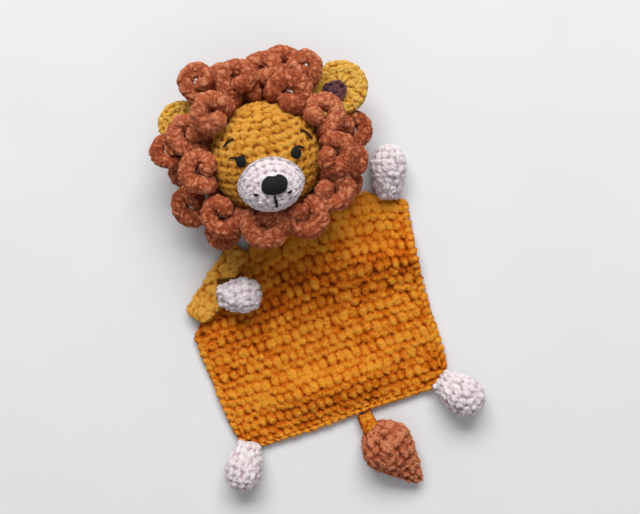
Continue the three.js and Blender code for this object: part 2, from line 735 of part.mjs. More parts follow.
// An ear: a flat cup sewn to the band, with a dark patch on its front
function addEar(side) {
  const [earX, earY] = earPlaces[side];
  const earFrame = new THREE.Group();
  earFrame.position.set(0, 0, -earDrop);
  earFrame.rotation.z = Math.atan2(earY, earX);
  earFrame.updateMatrix();
  headFrame.add(earFrame);
  const middle = Math.hypot(earX, earY);
  const start = headRadius;
  const size = { long: middle + earRadius - start, half: earRadius, high: earThick / 2 };
  const rings = earOutlineShares.map(([t, w]) => {
    const thin = Math.min(1, w + earBaseExtra);
    return eggRing(start + t * size.long, w * size.half, thin * size.high, 0, earSides);
  });
  const tip = new THREE.Vector3(start + size.long, 0, 0);
  const cup = solid(loft(rings, middleOf(rings[0]), tip));
  const seat = bandRoom.transform(earFrame.matrix.clone().invert().elements);
  const ear = cup.subtract(seat);
  addPiece(`ear_${side}`, toGeometry(ear), mustard, earFrame);
  const patch = new THREE.CylinderGeometry(earInnerRadius, earInnerRadius, earInnerThick, earSides);
  patch.rotateX(Math.PI / 2);
  patch.translate(middle - earRadius * earInnerInShare, 0, earThick / 2 + clearance + earInnerThick / 2);
  addPiece(`ear_inner_${side}`, toGeometry(solid(patch).subtract(seat)), plum, earFrame);
}
addEar('left');
addEar('right');

// The middle line of a curl: a raised tongue that winds out into a ring, then a stem down to the band
function curlLine([xs, ys, zs, size, side], row) {
  const middle = new THREE.Vector3(xs, ys, zs).multiplyScalar(headRadius);
  const outwards = new THREE.Vector3(middle.x, middle.y, 0).normalize();
  const sideways = new THREE.Vector3(-outwards.y, outwards.x, 0).multiplyScalar(side);
  const lean = Math.atan2(zs, Math.hypot(xs, ys)) + (curlLean[row] + 90) * degree;
  const facing = outwards.clone().multiplyScalar(Math.cos(lean)).setZ(Math.sin(lean));
  const across = new THREE.Vector3().crossVectors(sideways, facing).multiplyScalar(side).normalize();
  if (across.dot(outwards) < 0) across.negate();
  const ring = curlRing * size;
  const at = (x, y) => middle.clone().addScaledVector(across, x).addScaledVector(sideways, y);
  const line = [];
  for (let i = 0; i <= curlSteps; i += 1) {
    const angle = Math.PI * i / curlSteps;
    const raised = curlLift * size * (1 - i / curlSteps) ** liftFade;
    const place = at(ring / 2 * Math.sin(-angle), ring / 2 * (Math.cos(angle) - 1));
    line.push(place.addScaledVector(facing, raised));
  }
  for (let i = 1; i <= curlSteps; i += 1) {
    const angle = -Math.PI / 2 + Math.PI * i / curlSteps;
    line.push(at(ring * Math.cos(angle), ring * Math.sin(angle)));
  }
  const end = line[line.length - 1];
  const seat = row === 'front' ? stemOnTop(end) : stemOnSide(end);
  const pull = end.distanceTo(seat.at) / 3;
  const stem = new THREE.CubicBezierCurve3(end, end.clone().addScaledVector(across, -pull),
    seat.at.clone().addScaledVector(seat.from, pull), seat.at);
  for (let i = 1; i <= stemSteps; i += 1) line.push(stem.getPoint(i / stemSteps));
  const straight = seat.at.clone().addScaledVector(seat.from, curlTube);
  line[line.length - 2].copy(straight);
  return line;
}

function stemOnTop(end) {
  const radial = new THREE.Vector3(end.x, end.y, 0).setLength(headRadius + clearance + bandThick / 2);
  return { at: radial.setZ(bandTop + clearance), from: new THREE.Vector3(0, 0, 1) };
}

function stemOnSide(end) {
  const from = new THREE.Vector3(end.x, end.y, 0).normalize();
  const z = THREE.MathUtils.clamp(end.z, bandLow + curlTube, bandTop - curlTube);
  const skin = bandOuter * Math.sqrt(1 - (z / (headHigh + clearance + bandThick)) ** 2);
  return { at: from.clone().multiplyScalar(skin + clearance).setZ(z), from };
}

function leastGap(lineA, radiusA, lineB, radiusB, skip = 0) {
  let least = Infinity;
  const fine = (line) => new THREE.CatmullRomCurve3(line).getPoints(line.length * gapSteps);
  const [a, b] = [fine(lineA), fine(lineB)];
  a.forEach((p, i) => b.forEach((q, j) => {
    if (skip && Math.abs(i - j) < skip) return;
    least = Math.min(least, p.distanceTo(q));
  }));
  return least - radiusA - radiusB;
}

const curls = [];
function curlOf(row, share, i) {
  return { name: `mane_curl_${row}_${i + 1}`, line: curlLine(share, row), radius: curlTube * share[3] };
}
frontCurlShares.forEach((share, i) => curls.push(curlOf('front', share, i)));
backCurlShares.forEach((share, i) => curls.push(curlOf('back', share, i)));
curls.forEach(({ name, line, radius }) => addPiece(name, tube(line, radius, curlSides), rust, headFrame));
const selfGaps = curls.map((c) => leastGap(c.line, c.radius, c.line, c.radius, neighbourSteps));
console.log('least gap of a curl to itself', Math.min(...selfGaps).toFixed(2), 'mm');
curls.forEach((a, i) => curls.slice(i + 1).forEach((b) => {
  const gap = leastGap(a.line, a.radius, b.line, b.radius);
  if (gap < clearance) console.log('close curls', a.name, b.name, gap.toFixed(2));
}));

// The origin is under the middle of the whole, on the surface that it lies on
lovey.updateMatrixWorld(true);
const whole = new THREE.Box3().setFromObject(lovey, true);
const middle = whole.getCenter(new THREE.Vector3());
lovey.position.set(-middle.x, -middle.y, -whole.min.z);
lovey.updateMatrixWorld(true);

function report(name, point, direction) {
  const place = point.clone().add(lovey.position).divideScalar(1000);
  console.log(name, place.toArray().map((v) => v.toFixed(5)).join(', '), direction ?? '');
}
const across = (angle) => [Math.sin(angle).toFixed(5), (-Math.cos(angle)).toFixed(5), 0].join(', ');
report('neck_nod', nodPivot, '1, 0, 0');
report('arm_fold', new THREE.Vector3(creaseFrom.x, creaseFrom.y, fabricThick),
  [Math.cos(creaseAngle).toFixed(5), Math.sin(creaseAngle).toFixed(5), 0].join(', '));
[...seamPaws, armPaw].forEach((paw, i) => {
  const frame = [...pawFrames, armFrame][i];
  const z = frame.position.z + fabricThick;
  report(`paw_${paw.name}_lift`, frame.position.clone().setZ(z), across(paw.heading * degree));
});
report('tail_lift', tailFrame.position.clone().setZ(fabricThick * 2), across(tailHeading * degree));
report('tuft_swing', tuftFrame.position.clone().applyMatrix4(tailFrame.matrix), '0, 0, 1');
report('head_rest', new THREE.Vector3(0, headFrame.position.y, 0), '0, 0, -1');
report('blanket_rest', new THREE.Vector3(0, 0, 0), '0, 0, -1');
console.log('size', whole.getSize(new THREE.Vector3()).toArray().map((v) => v.toFixed(1)).join(' x '));

export default lovey;
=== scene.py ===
# %% [markdown]
# # A crocheted lion comfort blanket
# The toy is made of chenille yarn: a stuffed head with a muzzle, two ears and a mane of curls, sewn to
# a small waved blanket with stuffed paws on its corners and a tail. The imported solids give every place
# and size. This lesson dresses them, one crocheted piece at a time. All lengths here are millimetres
# until the moment a mesh is written, because crochet is counted and measured in millimetres.

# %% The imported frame
import json
import math

import bmesh
import bpy
import numpy as np
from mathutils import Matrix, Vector, noise


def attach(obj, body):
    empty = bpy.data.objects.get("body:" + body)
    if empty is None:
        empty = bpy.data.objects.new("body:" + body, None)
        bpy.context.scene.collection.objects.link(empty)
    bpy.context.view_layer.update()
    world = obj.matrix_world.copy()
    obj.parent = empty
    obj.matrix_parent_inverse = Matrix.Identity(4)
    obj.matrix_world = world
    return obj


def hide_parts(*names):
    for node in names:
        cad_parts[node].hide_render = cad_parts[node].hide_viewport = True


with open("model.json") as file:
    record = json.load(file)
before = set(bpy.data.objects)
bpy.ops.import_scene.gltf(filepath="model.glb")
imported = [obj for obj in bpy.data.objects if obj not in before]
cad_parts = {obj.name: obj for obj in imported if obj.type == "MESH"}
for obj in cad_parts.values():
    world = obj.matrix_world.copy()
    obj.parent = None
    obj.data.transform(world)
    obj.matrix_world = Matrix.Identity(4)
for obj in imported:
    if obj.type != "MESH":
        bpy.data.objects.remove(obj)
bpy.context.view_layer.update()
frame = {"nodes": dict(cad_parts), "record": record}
MM = 0.001
NODES = frame["nodes"]
SCENE = bpy.context.scene

# %% [markdown]
# ## Camera, table and light
# The toy lies on a table and is seen from straight above, so the camera looks down its own z axis. It is
# turned a little, because the blanket lies askew in the picture. The light comes through a large window
# beyond the picture's upper edge: one big area lamp gives the soft shadows, and a dim lamp opposite and a
# pale sky fill them.

# %% Where the blanket and the head stand
NECK_Y, NECK_TOP = 117.48, 31.0
neck = next(j for j in frame["record"]["behaviour"]["joints"] if j["name"] == "neck_nod")
HOME = np.array(neck["pos_m"]) / MM - np.array([0.0, NECK_Y, NECK_TOP])
print("the blanket's middle stands at", HOME.round(2))

# %% Camera
CAMERA_AT = (18.1, 64.1, 1100.0)
VIEW_WIDE, VIEW_TURN = 608.0, math.radians(-18.2)


def in_scene(name, data):
    made = bpy.data.objects.new(name, data)
    SCENE.collection.objects.link(made)
    return made


camera = bpy.data.cameras.new("camera")
camera.sensor_width = 36
camera.lens = camera.sensor_width * CAMERA_AT[2] / VIEW_WIDE
camera_object = in_scene("camera", camera)
camera_object.location = (np.array(CAMERA_AT) + HOME) * MM
camera_object.rotation_euler = (0, 0, VIEW_TURN)
SCENE.camera = camera_object
print("camera lens", round(camera.lens, 1), "at", [round(v, 3) for v in camera_object.location])


# %% Colour and node helpers
def linear(hex_colour):
    """An sRGB hex colour as the linear RGBA that Blender's sockets take."""
    parts = [int(hex_colour[i:i + 2], 16) / 255 for i in (1, 3, 5)]
    return [p / 12.92 if p <= 0.04045 else ((p + 0.055) / 1.055) ** 2.4 for p in parts] + [1.0]


def new_material(name):
    material = bpy.data.materials.new(name)
    material.use_nodes = True
    material.node_tree.nodes.clear()
    return material, material.node_tree


def node(tree, kind, links=(), **settings):
    """Adds one node. Settings name its properties or its input sockets, links join sockets to its inputs."""
    made = tree.nodes.new(kind)
    for name, value in settings.items():
        if hasattr(made, name):
            setattr(made, name, value)
        else:
            made.inputs[name.replace("_", " ")].default_value = value
    for target, source in dict(links).items():
        tree.links.new(source, made.inputs[target])
    return made


def maths(tree, operation, *values):
    """A math node's output. Each value is a socket or a number."""
    made = node(tree, "ShaderNodeMath", operation=operation)
    for socket, value in zip(made.inputs, values):
        if isinstance(value, float):
            socket.default_value = value
        else:
            tree.links.new(value, socket)
    return made.outputs[0]


def grain(tree, size, **settings):
    """Noise through the whole piece, with features of a size in mm."""
    place = node(tree, "ShaderNodeTexCoord").outputs["Object"]
    noise_node = node(tree, "ShaderNodeTexNoise", {"Vector": place}, Scale=1 / (size * MM), **settings)
    return noise_node.outputs["Fac"]


def ramp_of(tree, share, *stops):
    """A colour ramp through (position, hex colour) stops."""
    ramp = node(tree, "ShaderNodeValToRGB", {"Fac": share})
    elements = ramp.color_ramp.elements
    for element, (position, colour) in zip((elements[0], elements[1]), (stops[0], stops[-1])):
        element.position, element.color = position, linear(colour)
    for position, colour in stops[1:-1]:
        elements.new(position).color = linear(colour)
    return ramp.outputs["Color"]


def surface(tree, colour, height=None, strength=0.0, distance=0.0, **settings):
    """The shader and the output. A height socket becomes a bump of a strength and a distance in mm."""
    links = {"Base Color": colour}
    if height is not None:
        bump = node(tree, "ShaderNodeBump", {"Height": height}, Strength=strength, Distance=distance * MM)
        links["Normal"] = bump.outputs["Normal"]
    shader = node(tree, "ShaderNodeBsdfPrincipled", links, **settings)
    node(tree, "ShaderNodeOutputMaterial", {"Surface": shader.outputs["BSDF"]})


# %% Table
TABLE_HALF, MOTTLES_A_METRE = 3.0, 9


def mesh_of(bm, name):
    mesh = bpy.data.meshes.new(name)
    bm.to_mesh(mesh)
    bm.free()
    return mesh


def table_top():
    """Painted board: nearly white, matt, with the faintest mottling."""
    material, tree = new_material("painted_board")
    mottle = grain(tree, 1000 / MOTTLES_A_METRE)
    surface(tree, ramp_of(tree, mottle, (0, "#cbccd0"), (1, "#d1d2d6")), Roughness=0.85)
    bm = bmesh.new()
    bmesh.ops.create_grid(bm, x_segments=2, y_segments=2, size=TABLE_HALF)
    mesh = mesh_of(bm, "table")
    mesh.materials.append(material)
    in_scene("table", mesh)


table_top()


# %% Window light and sky
def turned(a, b, angle):
    """The pair a, b turned by an angle in radians."""
    c, s = np.cos(angle), np.sin(angle)
    return a * c - b * s, a * s + b * c


def lamp(name, right, up, high, target, size, power, colour):
    """An area lamp. right and up are metres in the picture from its middle, and high is above the table."""
    light = bpy.data.lights.new(name, "AREA")
    light.shape = "RECTANGLE"
    light.size, light.size_y = size
    light.energy = power
    light.color = linear(colour)[:3]
    holder = in_scene(name, light)
    holder.location = Vector((*turned(right, up, VIEW_TURN), high))
    holder.rotation_euler = (Vector(target) - holder.location).to_track_quat("-Z", "Y").to_euler()


lamp("window", -0.1, 2.5, 2.5, (0.02, 0.03, 0.02), (3.6, 1.7), 186, "#fffdf8")
lamp("room_fill", 0.6, -2.0, 2.6, (0.02, 0.03, 0.0), (3.4, 2.6), 14, "#fff6ee")
sky = bpy.data.worlds.new("room")
sky.use_nodes = True
sky.node_tree.nodes["Background"].inputs["Color"].default_value = linear("#f3f5f8")
sky.node_tree.nodes["Background"].inputs["Strength"].default_value = 0.36
SCENE.world = sky
SCENE.view_settings.view_transform = "Standard"

# %% [markdown]
# ## Chenille yarn
# Chenille is a fat, soft yarn: short cut pile stands out all round a thin core, so it shows no thread, only
# a velvety skin that is bright at its rims and deep in the gaps between stitches. Each material reads two
# attributes that the stitches write: "depth", 0 in a gap and 1 on a stitch's crown, and "tone", one chance
# value for each stitch. The colour is darkest where depth is low, in the gaps, as painted shade, and some
# pieces shift their tone as painted light or shade. Two noises stand for the pile: tufts of about 2.8 mm, and
# fibres that are drawn at 0.9 mm, coarser than the real 0.3 mm, because finer ones would not show in the
# picture. A yarn here is a material and the name of the slot that it fills.


# %% Chenille material
def chenille(name, slot, crown, flank, gap, sheen_tint, pile=1.0, sheen=0.35):
    """Chenille crochet: three tones from crown to gap, the darker ones painted shade in the gaps, mottled by
    the pile, with a velvet sheen.
    """
    material, tree = new_material(name)
    depth, tone = [node(tree, "ShaderNodeAttribute", attribute_name=key).outputs["Fac"]
                   for key in ("depth", "tone")]
    tufts = grain(tree, 2.8, Detail=4.0, Roughness=0.7)
    fibres = grain(tree, 0.9, Detail=2.0, Roughness=0.7)
    patches = grain(tree, 14.0, Detail=1.0)
    speckle = maths(tree, "MULTIPLY_ADD", maths(tree, "ADD", tufts, fibres), 0.55 * pile, -0.55 * pile)
    stitch = maths(tree, "MULTIPLY_ADD", tone, 0.22, speckle)
    cloud = maths(tree, "MULTIPLY_ADD", patches, 0.25, stitch)
    share = maths(tree, "SUBTRACT", maths(tree, "ADD", depth, cloud), 0.22)
    # The ramp darkens the colour towards the gaps between stitches: painted shade.
    surface(tree, ramp_of(tree, share, (0.08, gap), (0.52, flank), (0.96, crown)),
            maths(tree, "MULTIPLY_ADD", tufts, 1.8, fibres), 0.9 * pile, 1.6,
            Roughness=0.95, Sheen_Weight=sheen, Sheen_Roughness=0.45, Sheen_Tint=linear(sheen_tint),
            Specular_IOR_Level=0.12)
    return material, slot


MUSTARD = chenille("mustard_pile", "mustard_chenille", "#fcb94c", "#dc8618", "#702c02", "#ffc878", 1.5, 0.3)
# A paler copy of the mustard for the ears: painted light, where they face the window.
PAINTED_LIGHT_MUSTARD = chenille("mustard_worn_pile", "mustard_chenille", "#ffcc5e", "#ee9e28", "#8a3e06", "#ffd88c",
                        1.5)
# A deeper, more orange copy of the mustard for the cloth and the tail root: painted shade for the light that
# bounces between the cloth's stitches.
SHADED_CLOTH_MUSTARD = chenille("mustard_cloth_pile", "mustard_chenille", "#faa634", "#dc6a06", "#7c2e00", "#ff8c28",
                         1.4, 0.12)
RUST = chenille("rust_pile", "rust_chenille", "#e39068", "#b35634", "#662410", "#ff9c78", 1.4, 0.3)
LILAC = chenille("lilac_pile", "lilac_chenille", "#f0e8ec", "#dacad1", "#a8929a", "#fff4fa", sheen=0.22)
PLUM = chenille("plum_pile", "plum_chenille", "#6a4248", "#4c2c31", "#2a1416", "#c09aa0")


# %% Cotton thread and fibrefill materials
def cotton_yarn():
    """Six-strand mercerised cotton: nearly black, matt, with the strands' fine lines across it."""
    material, tree = new_material("black_cotton")
    place = node(tree, "ShaderNodeTexCoord").outputs["Object"]
    strands = node(tree, "ShaderNodeTexWave", {"Vector": place}, wave_type="BANDS", bands_direction="X",
                   Scale=1 / (3.2 * MM), Distortion=1.5, Detail=1.0)
    dust = grain(tree, 0.8, Detail=2.0)
    surface(tree, ramp_of(tree, dust, (0, "#08080a"), (1, "#17171a")), strands.outputs["Fac"], 0.35, 0.3,
            Roughness=0.75, Sheen_Weight=0.02, Sheen_Roughness=0.5, Specular_IOR_Level=0.18)
    return material, "black_yarn"


def polyester_fibre():
    """Polyester fibrefill: white, crimped, loose, with soft tangles of 2 mm."""
    material, tree = new_material("polyester_fibrefill")
    tangle = grain(tree, 2.0, Detail=4.0, Distortion=1.2)
    surface(tree, ramp_of(tree, tangle, (0, "#dcdcd8"), (1, "#f6f6f3")), tangle, 0.8, 1.0, Roughness=1.0,
            Sheen_Weight=0.4)
    return material, "fibrefill"


BLACK = cotton_yarn()
FIBRE = polyester_fibre()
print("materials", [m.name for m in bpy.data.materials])

# %% [markdown]
# ## Stitches
# Crochet is a grid of loops. Each loop is a few plump lobes of yarn that press on their neighbours, so the
# surface is domes with creases between them. One function works out how high the yarn stands at any place,
# from the place along the row and across the rows. Rows are offset by half a stitch, and each stitch is
# moved, swollen and turned a little by chance, as a hand does. The chance comes from the stitch's own
# numbers, so it is the same in every run.


# %% Height of the yarn
def chance(row, column, seed):
    """A number from 0 to 1 that depends only on the stitch and the seed."""
    mixed = np.sin(row * 127.1 + column * 311.7 + seed * 74.7) * 43758.5453
    return mixed - np.floor(mixed)


# Lobes of one stitch: middle across and up, half sizes across and up (shares of the stitch), slant, height
PLUMP = [(0.0, 0.0, 0.62, 0.8, 0.16, 1.0)]
SHELF = [(-0.2, 0.05, 0.46, 0.6, 0.6, 0.84), (0.25, -0.08, 0.46, 0.56, -0.5, 0.9)]
HEART = [(-0.21, 0.12, 0.38, 0.56, -0.42, 1.0), (0.21, 0.12, 0.38, 0.56, 0.42, 0.96),
         (0, -0.26, 0.38, 0.38, 0, 0.85)]
# How far a stitch strays by chance: across and up (shares), turned (radians), in width and in height (shares)
STRAY = (0.16, 0.2, 0.5, 0.2, 0.25)
DRIFT_OVER = 22  # rows and stitches also drift slowly, over about so many mm
ROUND_SHIFT = 0.23  # rounds are worked in a spiral, so each starts a little further on


def yarn_height(along, up, wide, high, kinds, seed, count_of=None, jitter=1.0, domed=0.8, overlap=0.1):
    """Height from 0 to 1 and the stitch's tone. kinds are the lobes of one row after the other. along and
    up are mm, or with count_of(row), the stitches in a whole round, along is an angle. A lower domed gives
    flatter lobes with narrower creases, and overlap lifts each lobe's lower end over the row below."""
    height = np.zeros_like(along)
    tone = np.full_like(along, 0.5)
    first = np.floor(up / high)
    for row in (first - 1, first, first + 1):
        count = count_of(row) if count_of else None
        pitch = 2 * np.pi / count if count_of else wide
        shift = 0.5 * np.mod(row, 2) + (ROUND_SHIFT * row if count_of else 0)
        base = np.floor(along / pitch - shift)
        for column in (base - 1, base, base + 1):
            index = np.mod(column, count) if count_of else column
            stray = [most * jitter * (chance(row, index, seed + k) - 0.5) for k, most in enumerate(STRAY)]
            across = along / pitch - column - 0.5 - shift - stray[0]
            above = up / high - row - 0.5 - stray[1]
            for kind, lobes in enumerate(kinds):
                mask = np.mod(row, len(kinds)) == kind
                for (x, y, half_x, half_y, slant, tall) in lobes:
                    p, q = turned(across - x, above - y, -slant - stray[2])
                    p, q = p / (half_x * (1 + stray[3])), q / half_y
                    dome = tall * (1 + stray[4]) * np.clip(1 - p * p - q * q, 0, 1) ** domed
                    dome *= 1 - overlap * q
                    higher = mask & (dome > height)
                    height = np.where(higher, dome, height)
                    tone = np.where(higher, chance(row, index, seed + 9), tone)
    return height, tone


# %% [markdown]
# ## From a grid to a crocheted piece
# Every crocheted piece starts as flat bmesh grids. They are bent to the piece's plain shape, their borders
# are welded, and then each vertex moves along its normal by the height of the yarn there. A body worked in
# rounds, such as the head, is a grid rolled round an axis, so its rows of stitches are the real rounds.


# %% Bending grids
def bent_grids(name, places, columns, rows, weld=0.04):
    """A mesh of one bent grid for each place function. place(u, v) takes shares from 0 to 1 and gives mm."""
    bm = bmesh.new()
    for side, place in enumerate(places):
        sheet = bmesh.new()
        bmesh.ops.create_grid(sheet, x_segments=columns, y_segments=rows, size=0.5)
        flat = mesh_of(sheet, "flat_grid")
        spots = np.empty(len(flat.vertices) * 3)
        flat.vertices.foreach_get("co", spots)
        u, v = (np.clip(spots[k::3] + 0.5, 0, 1) for k in (0, 1))
        flat.vertices.foreach_set("co", np.asarray(place(u, v)).ravel())
        for key, values in (("u", u), ("v", v), ("side", np.full_like(u, side))):
            flat.attributes.new(key, "FLOAT", "POINT").data.foreach_set("value", values)
        bm.from_mesh(flat)
        bpy.data.meshes.remove(flat)
    rim = [vert for vert in bm.verts if vert.is_boundary]
    bmesh.ops.remove_doubles(bm, verts=rim, dist=weld)
    bmesh.ops.recalc_face_normals(bm, faces=bm.faces)
    return mesh_of(bm, name)


def grid_shares(mesh):
    """The shares u and v of each vertex, and the number of its grid."""
    values = np.empty((3, len(mesh.vertices)))
    for row, key in zip(values, ("u", "v", "side")):
        mesh.attributes[key].data.foreach_get("value", row)
    return values


def corners_and_normals(mesh):
    spots, normals = np.empty((2, len(mesh.vertices) * 3))
    mesh.vertices.foreach_get("co", spots)
    mesh.vertices.foreach_get("normal", normals)
    return spots.reshape(-1, 3), normals.reshape(-1, 3)


def rough(spots, size, seed):
    """Smooth chance values from -1 to 1 with features of a size in mm."""
    shift = Vector((seed * 13.7, seed * 7.1, seed * 3.3))
    return np.array([noise.noise(Vector(p) / size + shift) for p in spots])


# %% Writing a finished piece
COARSE_TUFT, FINE_TUFT, MEAN_TUFT = 3.6, 1.9, 0.35
TABLE_GAP = 0.05


def handed_in(mesh, yarn, body, replaced):
    """Makes a finished mesh an object with its material and smooth shading, puts it on its body and hides the
    solid that it replaces.
    """
    material, slot = yarn
    mesh.materials.append(material)
    mesh.polygons.foreach_set("use_smooth", np.ones(len(mesh.polygons), dtype=bool))
    made = in_scene(mesh.name, mesh)
    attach(made, body)
    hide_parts(replaced)
    return made


def dressed(mesh, yarn, body, replaced, height, tone, proud, ripple=0.8, fill=None):
    """Moves each vertex out by its yarn height, writes the attributes and hands the piece to the frame.
    proud is how far a crown stands above a gap, and half of it lies inside the plain shape."""
    plain_area = sum(face.area for face in mesh.polygons)
    spots, normals = corners_and_normals(mesh)
    tufts = 0.0
    if ripple:
        seed = len(mesh.name)
        coarse, fine = rough(spots, COARSE_TUFT, seed), rough(spots, FINE_TUFT, seed + 1)
        tufts = np.abs(coarse) + 0.7 * np.abs(fine) - MEAN_TUFT
        height = height + 0.5 * ripple * tufts
    spots = spots + normals * (proud * (height - 0.5) + ripple * tufts)[:, None] + HOME
    spots[:, 2] = np.maximum(spots[:, 2], TABLE_GAP)
    mesh.vertices.foreach_set("co", (spots * MM).ravel())
    for key in ("u", "v", "side"):
        mesh.attributes.remove(mesh.attributes[key])
    # The yarn's height becomes painted shade in the gaps through the materials' ramps; the tone carries
    # painted light or shade on some pieces.
    for key, values in (("depth", np.clip(height, 0, 1.2)), ("tone", tone)):
        mesh.attributes.new(key, "FLOAT", "POINT").data.foreach_set("value", values)
    mesh.update()
    made = handed_in(mesh, yarn, body, replaced)
    grown = sum(face.area for face in mesh.polygons) / MM ** 2 / plain_area
    shape = bmesh.new()
    shape.from_mesh(mesh)
    open_edges = sum(not edge.is_manifold for edge in shape.edges)
    shape.free()
    print(mesh.name, len(mesh.vertices), "vertices, plain area", round(plain_area / 100, 1), "cm2, grown by",
          round(grown, 2), "open edges", open_edges)
    return made


# %% [markdown]
# ## Blanket
# The cloth is worked in rows to and fro, 8.3 mm a stitch and 8.65 mm a row. One row shows plump upright
# lobes, the next a lower, uneven shelf. Its outline is four smooth edges, and the place between them comes
# from blending the edges, so the rows follow the real pull of the cloth. The two faces are two grids that
# close on each other at a rounded edge. The waves are nearly those of the solid, with a longer slope below
# the upper crest. The tone is painted darker on the slopes that lean away from the window and lighter on
# those that face it, as painted shade and painted light. The border chain is painted paler, as painted
# light, and the whole cloth a little deeper, as painted shade.

# %% Smooth curves
def through(points, t):
    """The uniform Catmull-Rom curve through points, for shares t from 0 to 1."""
    points = np.asarray(points, dtype=float)
    place = np.clip(t, 0, 1) * (len(points) - 1)
    i = np.minimum(place.astype(int), len(points) - 2)
    w = (place - i)[:, None]
    p0, p1, p2, p3 = (points[np.clip(i + k, 0, len(points) - 1)] for k in (-1, 0, 1, 2))
    v0, v1 = (p2 - p0) / 2, (p3 - p1) / 2
    return (2 * p1 - 2 * p2 + v0 + v1) * w ** 3 + (-3 * p1 + 3 * p2 - 2 * v0 - v1) * w ** 2 + v0 * w + p1


def arc_length(line):
    return np.concatenate([[0], np.cumsum(np.linalg.norm(np.diff(line, axis=0), axis=1))])


def read_off(at, knots, values):
    """Each column of values, read at places between the knots."""
    return np.stack([np.interp(at, knots, column) for column in values.T], axis=1)


def unit(vector):
    return vector / np.linalg.norm(vector)


def smooth(t):
    k = np.clip(t, 0, 1)
    return k * k * (3 - 2 * k)


def bell(t):
    return np.where(np.abs(t) < 1, np.cos(np.clip(t, -1, 1) * np.pi / 2) ** 2, 0)


def quarter_round(t):
    """From 0 to 1 along a quarter of a circle, and 1 beyond it."""
    return np.sqrt(np.clip(1 - (1 - np.minimum(t, 1)) ** 2, 0, 1))


# %% The blanket's outline and waves
WIDE, LONG, CLOTH = 216.0, 178.0, 7.0
SIZE = np.array([WIDE, LONG])
TOP = SIZE * [[-0.565, 0.5], [-0.23, 0.55], [0, 0.675], [0.14, 0.66], [0.32, 0.615], [0.405, 0.6],
              [0.525, 0.505]]
LEFT = SIZE * [[-0.492, -0.494], [-0.52, -0.3], [-0.54, 0], [-0.555, 0.26], [-0.565, 0.5]]
RIGHT = SIZE * [[0.455, -0.494], [0.468, -0.3], [0.474, 0], [0.492, 0.27], [0.525, 0.505]]
BOTTOM = SIZE * [[-0.492, -0.494], [-0.2, -0.5], [0.1, -0.49], [0.455, -0.494]]
CREASE_FROM, CREASE_TO = SIZE * [-0.519, 0.253], SIZE * [-0.231, 0.534]
# Each paw: its seam's place, its heading in degrees, its length, half width and half height
CORNER_PAWS = {
    "top_right": (SIZE * [0.449, 0.537], 74.0, 51.0, 17.0, 15.5),
    "bottom_right": (SIZE * [0.412, -0.447], -54.0, 48.0, 18.5, 16.5),
    "bottom_left": (SIZE * [-0.46, -0.455], -119.0, 45.0, 17.5, 16.0),
}
ARM_PAW = (SIZE * [-0.389, 0.331], -15.0, 41.0, 16.5, 14.5)
ARM_PAW_AT, ARM_PAW_TURN, ARM_PAW_LONG = ARM_PAW[:3]
# Each ridge: its height, its crest as a share of the length, and its reach above and below the crest
RIDGES = ((21.0, 0.38, 0.3, 0.36), (8.0, -0.31, 0.17, 0.17))
NECK_RISE, NECK_HALF, NECK_FROM, NECK_SHARE = 24.0, 62.0, 0.38, 0.66
# Distances without waves from the crease and from a corner, and the distances over which they come back
FLAT_CREASE, BACK_CREASE, FLAT_CORNER, BACK_CORNER = 16, 44, 30, 40


def from_line(spots, start, end):
    way = end - start
    share = np.clip((spots - start) @ way / (way @ way), 0, 1)
    return np.linalg.norm(spots - start - share[:, None] * way, axis=1)


def heading(degrees):
    return np.array(turned(1.0, 0.0, math.radians(degrees)))


def ridges(share):
    return sum(high * bell((share - at) / np.where(share > at, up, down)) for high, at, up, down in RIDGES)


def wave(spots):
    """How high the cloth's underside stands, calm at the crease and at the corners."""
    arm_end = ARM_PAW_AT + ARM_PAW_LONG * heading(ARM_PAW_TURN)
    near = np.minimum(from_line(spots, CREASE_FROM, CREASE_TO), from_line(spots, ARM_PAW_AT, arm_end))
    calm_crease = smooth((near - FLAT_CREASE) / BACK_CREASE)
    calm = calm_crease.copy()
    for seam, *_ in CORNER_PAWS.values():
        calm *= smooth((np.linalg.norm(spots - seam, axis=1) - FLAT_CORNER) / BACK_CORNER)
    share = spots[:, 1] / LONG
    to_neck = smooth((share - NECK_FROM) / (NECK_SHARE - NECK_FROM))
    return calm * ridges(share) + calm_crease * NECK_RISE * bell(spots[:, 0] / NECK_HALF) * to_neck


# %% The blanket's borders, whole and cut where the paws and the folded corner are sewn on
SOFTEN = 6  # border points on each side that a corner is averaged over


def border(points, start=(), end=(), axis=0, low=-np.inf, high=np.inf):
    """A border line by arc length: an edge curve, whole or cut to low..high on one axis with other points
    at its start and end, and with its corners softened."""
    line = through(points, np.linspace(0, 1, 400))
    line = np.array([*start, *line[(line[:, axis] > low) & (line[:, axis] < high)], *end])
    steps = arc_length(line)
    line = read_off(np.linspace(0, steps[-1], 500), steps, line)
    padded = np.pad(line, ((SOFTEN, SOFTEN), (0, 0)), mode="reflect", reflect_type="odd")
    window = np.ones(2 * SOFTEN + 1) / (2 * SOFTEN + 1)
    return np.stack([np.convolve(column, window, "valid") for column in padded.T], axis=1)


def along_line(line, t):
    """The values at a share t, from 0 to 1, of an evenly divided line."""
    return read_off(np.clip(t, 0, 1) * (len(line) - 1), np.arange(len(line)), line)


